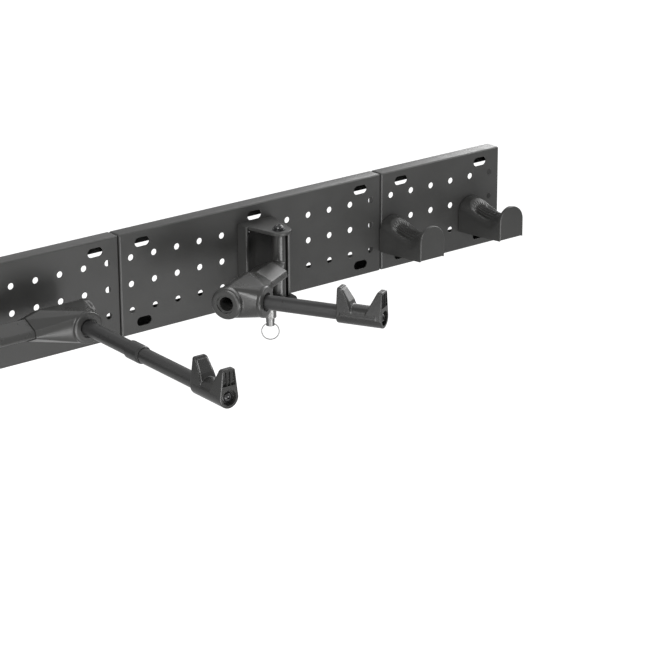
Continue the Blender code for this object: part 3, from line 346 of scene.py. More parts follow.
def arch_rows(reach, inset, floor, centre_x, rib_depth=0.0, sag=0.0):
    """Sections across the hook: from the bottom up a straight side, over a half circle and down
    the other side. A scoop sinks the crown, deepest behind the saddle, and starts farther forward
    with the fourth power of the turn off the crown. Cosine waves in it are the ribs."""
    radius = HOOK_HALF_WIDTH - inset[:, None]
    top = (saddle_top(reach) - sag)[:, None] - HOOK_HALF_WIDTH
    turn = np.linspace(0, np.pi, ARCH_STEPS)[None, :]
    lean = np.abs(turn - np.pi / 2)
    wave = 0.5 + 0.5 * np.cos(turn * 2 * HOOK_RIBS)
    start = HOOK_SCOOP_START + HOOK_SCOOP_SPREAD * lean ** 4
    across = smoothstep((HOOK_SCOOP_SPAN - lean) / HOOK_SCOOP_SIDE)
    front = smoothstep((HOOK_SCOOP_END - reach) / HOOK_SCOOP_END_RAMP)[:, None]
    rise = smoothstep((reach - HOOK_SCOOP_RISE_START) / HOOK_SCOOP_RISE_LENGTH)[:, None]
    sunk = smoothstep((reach[:, None] - start) / HOOK_SCOOP_RAMP) * (1 - HOOK_SCOOP_RISE * rise)
    grooves = smoothstep((reach[:, None] - start - HOOK_RIB_DELAY) / HOOK_RIB_RAMP) * (1 - wave)
    spread = radius - across * front * (HOOK_SCOOP_DEPTH * sunk + rib_depth * grooves)
    x = spread * np.cos(turn)
    z = top + spread * np.sin(turn)
    low = floor[:, None]
    climb = np.linspace(0, 1, SIDE_STEPS)[None, :-1]
    right_x = radius * np.ones_like(climb)
    right_z = low + (top - low) * climb
    x = np.concatenate([right_x, x, -right_x], axis=1)
    z = np.concatenate([right_z, z, right_z[:, ::-1]], axis=1)
    y = -RAIL_DEPTH - reach[:, None] * np.ones_like(x)
    return np.stack([x + centre_x, y, z + ROW_LEVEL], axis=-1)


def hook_shell(centre_x):
    """Outer sections with rims rounded by an inset that falls off as a quarter circle, and inner
    sections one wall inside them, joined round the open underside. Over the upper screw the inner
    crown sags, so that the screw stays in solid nylon."""
    quarter = np.linspace(0, np.pi / 2, RIM_STEPS)
    rim_out = HOOK_EDGE * (1 - np.sin(quarter))
    rim_in = HOOK_EDGE * (1 - np.cos(quarter))
    reach = np.concatenate([
        FIT + rim_in, np.linspace(HOOK_SLOPE_START, HOOK_SADDLE_REACH, SLOPE_STEPS),
        np.linspace(HOOK_SADDLE_REACH + 0.001, HOOK_PLATE_START, RISE_STEPS),
        HOOK_REACH - rim_in[::-1]])
    inset = np.concatenate([rim_out, np.zeros(SLOPE_STEPS + RISE_STEPS), rim_out[::-1]])
    outer = arch_rows(reach, inset, hook_bottom(reach) + inset, centre_x, HOOK_RIB_DEPTH)
    inner_reach = np.linspace(HOOK_BACK_PLATE, HOOK_PLATE_START - HOOK_FRONT_WALL, len(reach))
    wall = np.full(len(reach), HOOK_WALL)
    sag = HOOK_SOLID_DEPTH * smoothstep((HOOK_SOLID_END - inner_reach) / HOOK_SOLID_RAMP)
    inner = arch_rows(inner_reach, wall, hook_bottom(inner_reach), centre_x, sag=sag)
    rows, count = outer.shape[:2]
    points = np.concatenate([outer.reshape(-1, 3), inner.reshape(-1, 3),
                             outer[[0, -1]].mean(axis=1), inner[[0, -1]].mean(axis=1)])
    across = grid_quads(rows, count).reshape(rows - 1, count, 4)[:, :-1].reshape(-1, 4)
    far = rows * count
    step = np.arange(rows - 1) * count
    edges = []
    for column in (0, count - 1):
        edge = np.stack([step + column, step + count + column,
                         far + step + count + column, far + step + column], -1)
        edges.append(edge if column == 0 else edge[:, ::-1])
    ends = []
    for row, hand in ((0, 1), (rows - 1, -1)):
        edge = np.array([[row * count, far + row * count, far + row * count + count - 1,
                          row * count + count - 1]])
        ends.append(edge[:, ::hand])
    here = np.arange(count)
    after = (here + 1) % count
    caps = []
    for layer, offset in ((0, 0), (1, far)):
        for end, row in enumerate((0, rows - 1)):
            centre = np.full(count, 2 * far + 2 * layer + end)
            fan = np.stack([centre, offset + row * count + after, offset + row * count + here], -1)
            caps.append(fan if (end + layer) % 2 == 0 else fan[:, ::-1])
    quads = np.concatenate([across, across[:, ::-1] + far] + edges + ends)
    return points, quads, np.concatenate(caps)


def outward(points, quads, tris):
    """Faces of a closed skin, turned over if the volume that they enclose comes out negative.
    The volume is the sum over triangles of a . (b x c) / 6."""
    corners = np.concatenate([quads[:, [0, 1, 2]], quads[:, [0, 2, 3]], tris])
    a, b, c = points[corners[:, 0]], points[corners[:, 1]], points[corners[:, 2]]
    if np.einsum("ij,ij->", a, np.cross(b, c)) < 0:
        return quads[:, ::-1], tris[:, ::-1]
    return quads, tris


def skin(rows):
    """A closed skin over rows of points, with a fan about the middle of the first and last row."""
    count = rows.shape[1]
    points = np.concatenate([rows.reshape(-1, 3), rows[:1].mean(axis=1), rows[-1:].mean(axis=1)])
    last = (len(rows) - 1) * count
    here = np.arange(count)
    after = (here + 1) % count
    centre = np.full(count, len(points) - 2)
    tris = np.concatenate([np.stack([centre, after, here], axis=-1),
                           np.stack([centre + 1, last + here, last + after], axis=-1)])
    return (points, *outward(points, grid_quads(len(rows), count), tris))


def frame_axes(axis):
    """Two unit directions square to an axis and to each other, right-handed with it."""
    axis = np.asarray(axis, float)
    helper = np.array((0.0, 0.0, 1.0)) if abs(axis[2]) < 0.9 else np.array((0.0, 1.0, 0.0))
    first = np.cross(helper, axis)
    first /= np.linalg.norm(first)
    return first, np.cross(axis, first)


def softened(points, radius, closed=False, steps=5):
    """A polyline with each corner replaced by a parabola that leaves its sides at a distance of
    radius, or nearly half of a shorter side."""
    points = np.asarray(points, float)
    radius = np.broadcast_to(np.asarray(radius, float), len(points))
    before = np.roll(points, 1, axis=0) - points
    after = np.roll(points, -1, axis=0) - points
    near = np.linalg.norm(before, axis=1)
    far = np.linalg.norm(after, axis=1)
    cut = np.minimum(radius, CORNER_SHARE * np.minimum(near, far))[:, None]
    start = points + before / np.maximum(near, 1e-12)[:, None] * cut
    end = points + after / np.maximum(far, 1e-12)[:, None] * cut
    share = np.linspace(0, 1, steps)[None, :, None]
    curve = ((1 - share) ** 2 * start[:, None] + 2 * share * (1 - share) * points[:, None]
             + share ** 2 * end[:, None])
    if closed:
        line = curve.reshape(-1, 2)
        return line[np.linalg.norm(line - np.roll(line, 1, axis=0), axis=1) > 1e-8]
    line = np.concatenate([points[:1], curve[1:-1].reshape(-1, 2), points[-1:]])
    return line[np.append(True, np.linalg.norm(np.diff(line, axis=0), axis=1) > 1e-8)]


def turned_rows(profile, origin, axis, sides=64, outline=None):
    """A lathe grid: a point at radius r and height h goes to origin + h axis + r (cos t, sin t) on
    the two directions square to the axis. An outline scales the radius with the angle t."""
    profile = np.asarray(profile, float)
    first, second = frame_axes(axis)
    turn = 2 * np.pi * np.arange(sides) / sides
    scale = np.ones(sides) if outline is None else outline(turn)
    radius = profile[:, :1] * scale
    ring = (radius[..., None] * (np.cos(turn)[:, None] * first + np.sin(turn)[:, None] * second))
    return np.asarray(origin) + profile[:, 1, None, None] * np.asarray(axis) + ring


def turned(profile, origin, axis, soft=0.0002, sides=64):
    """A solid lathe shape from (radius, height) pairs that start and end near the axis."""
    return skin(turned_rows(softened(profile, soft), origin, axis, sides))


hook_x = {}
for hook, column in HOOK_COLUMNS.items():
    hook_x[hook] = LONG_RAIL_COLUMNS * PITCH / 2 + (column - 0.5) * PITCH
    boss_back = -RAIL_DEPTH - HOOK_BACK_PLATE / 2
    boss_end = HOOK_BACK_PLATE / 2 + HOOK_BOSS_LENGTH
    boss = turned(
        [(0.0, 0.0), (HOOK_BOSS_RADIUS, 0.0), (HOOK_BOSS_RADIUS, boss_end), (0.0, boss_end)],
        (hook_x[hook], boss_back, ROW_LEVEL - PITCH), (0.0, -1.0, 0.0), sides=32)
    finished(hook, [hook_shell(hook_x[hook]), boss], grained_nylon, "root")


# Hook screws
#
# Two flange-head screws with hexagon sockets hold each hook, driven from behind through the rail's
# front. Cold headed steel, blackened and oiled.

METAL_GRAIN = 0.0005
SCRATCH_STRETCH = 12.0
HEX_CORNER = 2 / math.sqrt(3)
BUTTON_HEAD = ((1.0, 0.28), (0.86, 0.62), (0.62, 0.88), (0.45, 1.0))
BOLT_TIP = 0.0005
BOLT_ROUNDING = 0.0004
BOLT_SIDES = 48
SOCKET_RIM = 0.0003
HOOK_SCREW_HEAD = 0.0068
HOOK_SCREW_HEAD_HEIGHT = 0.0046
HOOK_SCREW_RADIUS = 0.0029
HOOK_SCREW_LENGTH = 0.020


def bare_metal(name, color, pale, roughness, spread, metallic, scratch_depth, specular=0.5):
    """Steel whose tone and roughness drift in clouds, with fine scratches across Z: the coating's
    grain noise, read at a place whose Z is multiplied by the stretch."""
    material = coating(name, color, pale, roughness, spread, METAL_GRAIN, scratch_depth, specular)
    nodes = material.node_tree.nodes
    surface = nodes["Principled BSDF"]
    surface.inputs["Metallic"].default_value = metallic
    stretch = shader_node(nodes, "ShaderNodeMapping", Scale=(1.0, 1.0, SCRATCH_STRETCH))
    peel = [node for node in nodes if node.type == "BUMP"][0].inputs["Height"].links[0].from_node
    place = [node for node in nodes if node.type == "TEX_COORD"][0]
    links(nodes, (place, "Object", stretch, "Vector"), (stretch, "Vector", peel, "Vector"))
    return material


black_oxide = bare_metal("oiled_black_oxide", (0.010, 0.010, 0.011), (0.018, 0.018, 0.019),
                         roughness=0.14, spread=0.04, metallic=0.0, scratch_depth=0.00001,
                         specular=0.65)


def hexagonal(turn):
    """The radius of a hexagon of unit half flats at an angle: 1 / cos of the angle to the flat."""
    return 1 / np.cos((turn + np.pi / 6) % (np.pi / 3) - np.pi / 6)


def headed_bolt(head, height, shank, tip, seat, origin, axis, socket, floor, flange=0.0):
    """A shank with a domed head and a hexagon socket: lathe rings up to the socket's rim, then
    hexagonal rings down to its floor. Heights are along the axis from the origin."""
    body = [(0.0, tip), (shank - BOLT_TIP, tip), (shank, tip + BOLT_TIP), (shank, seat)]
    if flange:
        body += [(head, seat), (head, seat + flange)]
        head -= flange
        seat += flange
        height -= flange
    body.append((head, seat))
    body += [(head * across, seat + height * up) for across, up in BUTTON_HEAD]
    body.append((socket * HEX_CORNER + SOCKET_RIM, seat + height))
    outside = turned_rows(softened(body, BOLT_ROUNDING), origin, axis, BOLT_SIDES)
    well = [(socket, seat + height - SOCKET_RIM), (socket, seat + floor),
            (SOCKET_RIM, seat + floor - BOLT_ROUNDING)]
    inside = turned_rows(well, origin, axis, BOLT_SIDES, hexagonal)
    return skin(np.concatenate([outside, inside]))


for hook in HOOK_COLUMNS:
    for place, level in (("upper", ROW_LEVEL), ("lower", ROW_LEVEL - PITCH)):
        seat = SHEET + FIT
        screw = headed_bolt(HOOK_SCREW_HEAD, HOOK_SCREW_HEAD_HEIGHT, HOOK_SCREW_RADIUS,
                            seat - HOOK_SCREW_LENGTH, seat, (hook_x[hook], -RAIL_DEPTH, level),
                            (0.0, 1.0, 0.0), socket=0.002, floor=0.0010, flange=0.0013)
        finished("%s_%s_screw" % (hook, place), [screw], black_oxide, "root")


# Brackets
#
# Each arm hangs on a welded steel bracket: a base bolted to the rail, a deep wall on its closed
# side, a low wall on the other, a tapering lug above and a wide foot below. Powder coated.

PIVOT_REACH = 0.0555
BRACKET_HALF_WIDTH = PITCH / 2 + 0.01125
BASE_THICKNESS = 0.006
BRACKET_TOP = PITCH + 0.0118
LUG_THICKNESS = 0.005
LUG_RADIUS = 0.017
WALL_THICKNESS = 0.004
LOW_WALL_DEPTH = 0.020
FOOT_TOP = -PITCH - 0.0125
FOOT_THICKNESS = 0.006
FOOT_HALF_WIDTH = PITCH / 2 + 0.00975
FOOT_RADIUS = 0.024
PIN_DISTANCE = 0.022
PIN_ANGLE = math.radians(196.0)
PIN_BOSS_RADIUS = 0.0098
PIN_SPIGOT_RADIUS = 0.006
PIVOT_BOLT_RADIUS = 0.004
CLAMP_BOLT_RADIUS = 0.0039
RIM = 0.0008
BASE_CORNER = 0.003
WALL_RIM = 0.0006
WALL_CORNER = 0.0012
DRILL_RUN = 0.01
NOSE_STEPS = 40
CAST_SHARP_ANGLE = math.radians(50.0)
EDGE_ON = ((1.0, 0.0, 0.0), (0.0, 0.0, 1.0), (0.0, 1.0, 0.0))


class Place:
    """Where a group of pieces stands: local x, y and z directions from an origin. The left arm is
    the mirror image of the right one, so one of its directions is turned round."""

    def __init__(self, origin, along, across, up=(0.0, 0.0, 1.0)):
        self.origin = np.asarray(origin, float)
        self.axes = np.array([along, across, up], float)

    def __call__(self, points):
        """Local points in space: the origin plus each coordinate times its direction."""
        return self.origin + np.asarray(points, float) @ self.axes

    def way(self, direction):
        """A local direction in space."""
        return np.asarray(direction, float) @ self.axes


PIVOTS = {"right": (0.0, 1.0, math.radians(209.0)),
          "left": (-13 * PITCH, -1.0, math.radians(-0.7))}
fixed = {}
swing = {}
for side, (pivot_x, hand, neck_angle) in PIVOTS.items():
    pivot = (pivot_x, -RAIL_DEPTH - PIVOT_REACH, ROW_LEVEL)
    fixed[side] = Place(pivot, (hand, 0.0, 0.0), (0.0, 1.0, 0.0))
    swing[side] = Place(pivot, (math.cos(neck_angle), math.sin(neck_angle), 0.0),
                        (-hand * math.sin(neck_angle), hand * math.cos(neck_angle), 0.0))


def slab(outline, low, high, place, rim=RIM, turn=None):
    """A flat outline with thickness and rounded rims: it is drawn in along its own normals by the
    rim less the rim times the sine of the angle round each quarter circle. A turn matrix stands
    the outline up before it is placed."""
    outline = np.asarray(outline, float)
    edge = np.roll(outline, -1, axis=0) - outline
    normal = np.stack([edge[:, 1], -edge[:, 0]], axis=-1)
    normal /= np.maximum(np.linalg.norm(normal, axis=1), 1e-12)[:, None]
    normal = normal + np.roll(normal, 1, axis=0)
    normal /= np.maximum(np.linalg.norm(normal, axis=1), 1e-12)[:, None]
    area = np.sum(outline[:, 0] * np.roll(outline[:, 1], -1)
                  - outline[:, 1] * np.roll(outline[:, 0], -1))
    normal *= np.sign(area)
    quarter = np.linspace(0, np.pi / 2, RIM_STEPS)
    inset = rim * (1 - np.sin(quarter))
    level = rim * (1 - np.cos(quarter))
    inset = np.concatenate([inset, inset[::-1]])
    level = np.concatenate([low + level, high - level[::-1]])
    flat = outline[None] - inset[:, None, None] * normal[None]
    rows = np.concatenate([flat, np.broadcast_to(level[:, None, None], (*flat.shape[:2], 1))], -1)
    if turn is not None:
        rows = rows @ np.asarray(turn, float)
    return skin(place(rows))


def arc(radius, first, last, steps, centre=(0.0, 0.0)):
    """Points on an arc between two angles in radians."""
    turn = np.linspace(first, last, steps)
    return np.asarray(centre) + radius * np.stack([np.cos(turn), np.sin(turn)], axis=-1)


def tapered(half_width, radius, base_y, corner=0.002):
    """A plan that runs from a straight base along two tangents to an arc about the pivot."""
    touch = math.atan2(base_y, half_width) - math.acos(radius / math.hypot(half_width, base_y))
    nose = arc(radius, touch, -math.pi - touch, NOSE_STEPS)
    ends = softened([nose[-1], (-half_width, base_y), (half_width, base_y), nose[0]], corner)
    return np.concatenate([nose, ends[1:-1]])


def solid_of(shells, cutters=(), voxel=0.0, relax=0):
    """One skin from overlapping ones. A voxel size melts them together as a casting is, and each
    cutter is then taken away. Without one they are joined at their true edges."""
    holder = []
    base = bpy.data.objects.new("blank", mesh_of("blank", shells if voxel else shells[:1]))
    bpy.context.scene.collection.objects.link(base)
    if voxel:
        melt = base.modifiers.new("melt", "REMESH")
        melt.mode = "VOXEL"
        melt.voxel_size = voxel
        melt.use_smooth_shade = True
        relaxing = base.modifiers.new("relax", "SMOOTH")
        relaxing.factor = 0.5
        relaxing.iterations = relax
    tools = [] if voxel else [(shell, "UNION") for shell in shells[1:]]
    tools += [(shell, "DIFFERENCE") for shell in cutters]
    for shell, operation in tools:
        tool = bpy.data.objects.new("tool", mesh_of("tool", [shell]))
        bpy.context.scene.collection.objects.link(tool)
        holder.append(tool)
        joining = base.modifiers.new("join", "BOOLEAN")
        joining.operation = operation
        joining.solver = "EXACT"
        joining.object = tool
    bpy.context.view_layer.update()
    seen = base.evaluated_get(bpy.context.evaluated_depsgraph_get())
    mesh = bpy.data.meshes.new_from_object(seen)
    for spare in holder + [base]:
        bpy.data.objects.remove(spare)
    mesh.shade_smooth()
    mesh.set_sharp_from_angle(angle=CAST_SHARP_ANGLE if voxel else SHARP_ANGLE)
    return mesh


def rod(radius, start, end, soft=0.0002, sides=64):
    """A round bar between two points."""
    start, end = np.asarray(start, float), np.asarray(end, float)
    length = np.linalg.norm(end - start)
    return turned([(0.0, 0.0), (radius, 0.0), (radius, length), (0.0, length)], start,
                  (end - start) / length, soft, sides)


def bolt_places():
    """The four rail holes about a pivot, as (x, z) pairs."""
    return [(x * PITCH / 2, z * PITCH) for x in (-1, 1) for z in (-1, 1)]


for side in PIVOTS:
    here = fixed[side]
    base_y = PIVOT_REACH - FIT
    foot_bottom = FOOT_TOP - FOOT_THICKNESS
    half = BRACKET_HALF_WIDTH
    base_plan = softened([(-half, foot_bottom), (half, foot_bottom), (half, BRACKET_TOP),
                          (-half, BRACKET_TOP)], BASE_CORNER, closed=True)
    base_plate = slab(base_plan, base_y - BASE_THICKNESS, base_y, here, turn=EDGE_ON)
    lug = slab(tapered(half, LUG_RADIUS, base_y), BRACKET_TOP - LUG_THICKNESS, BRACKET_TOP, here)
    foot = slab(tapered(FOOT_HALF_WIDTH, FOOT_RADIUS, base_y), foot_bottom, FOOT_TOP, here)
    pin_x, pin_y = PIN_DISTANCE * math.cos(PIN_ANGLE), PIN_DISTANCE * math.sin(PIN_ANGLE)
    boss = rod(PIN_BOSS_RADIUS, here((pin_x, pin_y, foot_bottom)), here((pin_x, pin_y, FOOT_TOP)),
               soft=RIM)
    low_wall_plan = softened([
        (-half, base_y - LOW_WALL_DEPTH), (-half + WALL_THICKNESS, base_y - LOW_WALL_DEPTH),
        (-half + WALL_THICKNESS, base_y - RIM), (-half, base_y - RIM)], WALL_CORNER, closed=True)
    low_wall = slab(low_wall_plan, foot_bottom + RIM, BRACKET_TOP - RIM, here, rim=WALL_RIM)
    corner = np.array((half, base_y))
    touch = math.atan2(base_y, half) - math.acos(LUG_RADIUS / math.hypot(half, base_y))
    tangent = LUG_RADIUS * np.array((math.cos(touch), math.sin(touch)))
    run = (tangent - corner) / np.linalg.norm(tangent - corner)
    inward = np.array((run[1], -run[0]))
    deep_wall_plan = softened([
        corner + run * RIM, tangent, tangent + inward * WALL_THICKNESS,
        corner + run * RIM + inward * WALL_THICKNESS], WALL_CORNER, closed=True)
    deep_wall = slab(deep_wall_plan, foot_bottom + RIM, BRACKET_TOP - RIM, here, rim=WALL_RIM)
    bores = [rod(PIVOT_BOLT_RADIUS + FIT, here((0, 0, 2 * foot_bottom)),
                 here((0, 0, 2 * BRACKET_TOP))),
             rod(PIN_SPIGOT_RADIUS + FIT, here((pin_x, pin_y, 2 * foot_bottom)),
                 here((pin_x, pin_y, 0.0)))]
    bores += [rod(CLAMP_BOLT_RADIUS + FIT, here((x, base_y - 2 * DRILL_RUN, z)),
                  here((x, base_y + 2 * DRILL_RUN, z)), sides=32) for x, z in bolt_places()]
    bracket = solid_of([base_plate, lug, foot, boss, low_wall, deep_wall], bores)
    finished(side + "_bracket", bracket, powder_coat, "root")


# Bracket bolts and clamp plates
#
# Four button-head bolts pass through each bracket and the rail into a threaded, zinc plated
# clamp plate behind the sheet, which spreads the arm's load over the tray's front.

CLAMP_HEAD_RADIUS = 0.00525
CLAMP_HEAD_HEIGHT = 0.004
CLAMP_PLATE_THICKNESS = 0.004
CLAMP_PLATE_EDGE = 0.009
CLAMP_PLATE_CORNER = 0.003
CLAMP_PLATE_RIM = 0.0005
BOLT_TAIL = 0.0015

zinc_sheet = bare_metal("passivated_zinc_sheet", (0.36, 0.36, 0.35), (0.50, 0.50, 0.48),
                        roughness=0.38, spread=0.07, metallic=1.0, scratch_depth=0.00002)

for side in PIVOTS:
    here = fixed[side]
    head_seat = PIVOT_REACH - FIT - BASE_THICKNESS - FIT
    plate_front = PIVOT_REACH + SHEET + FIT
    bolt_end = plate_front + CLAMP_PLATE_THICKNESS + BOLT_TAIL
    for number, (x, z) in enumerate(bolt_places(), start=1):
        bolt = headed_bolt(CLAMP_HEAD_RADIUS, CLAMP_HEAD_HEIGHT, CLAMP_BOLT_RADIUS,
                           head_seat - bolt_end, 0.0, here((x, head_seat, z)), (0.0, -1.0, 0.0),
                           socket=0.00165, floor=0.0018)
        finished("%s_bracket_bolt_%d" % (side, number), [bolt], black_oxide, "root")
    reach_x = PITCH / 2 + CLAMP_PLATE_EDGE
    reach_z = PITCH + CLAMP_PLATE_EDGE
    plan = softened([(-reach_x, -reach_z), (reach_x, -reach_z), (reach_x, reach_z),
                     (-reach_x, reach_z)], CLAMP_PLATE_CORNER, closed=True)
    plate = slab(plan, plate_front, plate_front + CLAMP_PLATE_THICKNESS, here,
                 rim=CLAMP_PLATE_RIM, turn=EDGE_ON)
    bores = [rod(CLAMP_BOLT_RADIUS + FIT, here((x, plate_front - DRILL_RUN, z)),
                 here((x, bolt_end + DRILL_RUN, z)), sides=32) for x, z in bolt_places()]
    finished(side + "_clamp_plate", solid_of([plate], bores), zinc_sheet, "root")


# Pivot stack
#
# A long button-head bolt drops through the lug, the swivel and the foot, with a washer under its
# head, a thin bearing washer at each end of the swivel and a lock nut below.

PIVOT_WASHER_RADIUS = 0.009
PIVOT_WASHER_THICKNESS = 0.0012
PIVOT_HEAD_RADIUS = 0.00675
PIVOT_HEAD_HEIGHT = 0.0045
WASHER_EDGE = 0.00025
THRUST_WASHER_RADIUS = 0.0085
THRUST_WASHER_THICKNESS = 0.001
LOCK_NUT_HEIGHT = 0.008
NUT_HALF_FLATS = 0.0065
NUT_FLATS_HEIGHT = 0.0055
NUT_FACE_RADIUS = 0.0062
NUT_CHAMFER = 0.0004
NUT_STEP = 0.0002
NUT_COLLAR_RADIUS = 0.0058
NUT_COLLAR_CHAMFER = (0.0006, 0.0008)
NUT_SIDES = 72
UP = (0.0, 0.0, 1.0)


def loop_skin(rows):
    """A closed skin over rows that also close on themselves, as round a bored piece."""
    closed = grid_quads(len(rows) + 1, rows.shape[1]) % (len(rows) * rows.shape[1])
    points = rows.reshape(-1, 3)
    return (points, *outward(points, closed, np.zeros((0, 3), int)))


def bored(profile, origin, axis, soft=0.0002, sides=64):
    """A lathe shape with a hole through it, from a closed loop of (radius, height) pairs."""
    return loop_skin(turned_rows(softened(profile, soft, closed=True), origin, axis, sides))


def washer(outer, bore, low, high, origin):
    """A flat ring with slightly rounded rims."""
    loop = [(outer, high), (outer, low), (bore, low), (bore, high)]
    return bored(loop, origin, UP, WASHER_EDGE)


for side in PIVOTS:
    here = fixed[side]
    bore = PIVOT_BOLT_RADIUS + FIT
    lug_under = BRACKET_TOP - LUG_THICKNESS
    washer_low = BRACKET_TOP + FIT
    washers = {
        "pivot_washer": (PIVOT_WASHER_RADIUS, washer_low, washer_low + PIVOT_WASHER_THICKNESS),
        "upper_thrust_washer": (THRUST_WASHER_RADIUS, lug_under - FIT - THRUST_WASHER_THICKNESS,
                                lug_under - FIT),
        "lower_thrust_washer": (THRUST_WASHER_RADIUS, FOOT_TOP + FIT,
                                FOOT_TOP + FIT + THRUST_WASHER_THICKNESS)}
    for kind, (outer, low, high) in washers.items():
        ring = washer(outer, bore, low, high, here.origin)
        finished("%s_%s" % (side, kind), [ring], black_oxide, "root")
    seat = washer_low + PIVOT_WASHER_THICKNESS + FIT
    nut_top = FOOT_TOP - FOOT_THICKNESS - FIT
    nut_end = nut_top - LOCK_NUT_HEIGHT
    bolt = headed_bolt(PIVOT_HEAD_RADIUS, PIVOT_HEAD_HEIGHT, PIVOT_BOLT_RADIUS,
                       nut_end - BOLT_TAIL, seat, here.origin, UP, socket=0.0021, floor=0.0016)
    finished(side + "_pivot_bolt", [bolt], black_oxide, "root")
    flats_end = nut_top - NUT_FLATS_HEIGHT
    flats = turned_rows([(NUT_FACE_RADIUS, nut_top), (NUT_HALF_FLATS, nut_top - NUT_CHAMFER),
                         (NUT_HALF_FLATS, flats_end)], here.origin, UP, NUT_SIDES, hexagonal)
    chamfer, chamfer_height = NUT_COLLAR_CHAMFER
    collar = turned_rows([(NUT_FACE_RADIUS, flats_end - NUT_STEP),
                          (NUT_COLLAR_RADIUS, nut_end + chamfer_height),
                          (NUT_COLLAR_RADIUS - chamfer, nut_end),
                          (PIVOT_BOLT_RADIUS + FIT / 2, nut_end),
                          (PIVOT_BOLT_RADIUS + FIT / 2, nut_top)], here.origin, UP, NUT_SIDES)
    nut = loop_skin(np.concatenate([flats, collar]))
    finished(side + "_pivot_nut", [nut], black_oxide, "root")


# Swivels
#
# A cast iron upright barrel turns on the pivot bolt. A broad roof-shaped neck carries the hub,
# and an index disc at its foot has holes that the pull pin drops into. Satin cast coat.

BARREL_RADIUS = 0.00875
NECK_LEVEL = -0.0025
NECK_START = 0.020
NECK_CORNER = 0.007
NECK_END_SHARE = 0.75
NECK_HALF = ((0.0, 0.0143), (0.0225, 0.0028), (0.0245, -0.0040), (0.0, -0.0155))
NECK_ROOT_TOP = 0.004
NECK_ROOT_BOTTOM = -0.016
SEAM_REACH = 0.079
SEAM_CUT_RADIUS = 0.035
INDEX_RADIUS = 0.0275
INDEX_THICKNESS = 0.0055
INDEX_EDGE = 0.0005
INDEX_HOLE_RADIUS = 0.0034
INDEX_DRILL_BELOW = 0.004
INDEX_DRILL_ABOVE = 0.010
INDEX_STEP = math.radians(34.0)
INDEX_MARGIN = math.radians(15.0)
NECK_NEAR_WALL = math.radians(172.0)
NECK_STRAIGHT_OUT = math.radians(280.0)
HUB_BOLT_RADIUS = 0.005
HUB_BOLT_GRIP = 0.029
CAST_EDGE = 0.0019
CAST_VOXEL = 0.0007
CAST_RELAX = 9
MACHINED_EDGE = 0.0006
POLE_GAP = 0.004
GLOBE_ROWS = 120
GLOBE_SIDES = 240
ROOT_SIDES = 48
SECTOR_STEPS = 60

cast_coat = coating("satin_cast_coat", (0.026, 0.026, 0.025), (0.033, 0.033, 0.032),
                    roughness=0.29, spread=0.03, grain=0.0016, depth=0.00002)


def neck_section(reach, share=1.0, draw_in=0.0):
    """The neck's section about its axis: a low roof, short upright sides and a keel. Its corners
    are scaled by the share and then drawn in straight towards the axis."""
    half = np.array(NECK_HALF) * share
    right = np.column_stack([np.full(len(half), reach), half])
    left = right * (1.0, -1.0, 1.0)
    section = np.concatenate([right, left])
    middle = np.array((reach, 0.0, 0.0))
    span = np.linalg.norm(section - middle, axis=1, keepdims=True)
    return section - (section - middle) / span * draw_in


def rounded_hull(points, radius, place):
    """The tight skin over a cloud of points, with rounded edges: in each direction of a globe the
    farthest point of the cloud, moved out along that direction by the radius."""
    polar, turn = np.meshgrid(np.linspace(POLE_GAP, np.pi - POLE_GAP, GLOBE_ROWS),
                              np.linspace(0, 2 * np.pi, GLOBE_SIDES, endpoint=False),
                              indexing="ij")
    way = np.stack([np.sin(polar) * np.cos(turn), np.sin(polar) * np.sin(turn), np.cos(polar)], -1)
    farthest = np.argmax(way @ points.T, axis=-1)
    return skin(place(points[farthest] + radius * way))


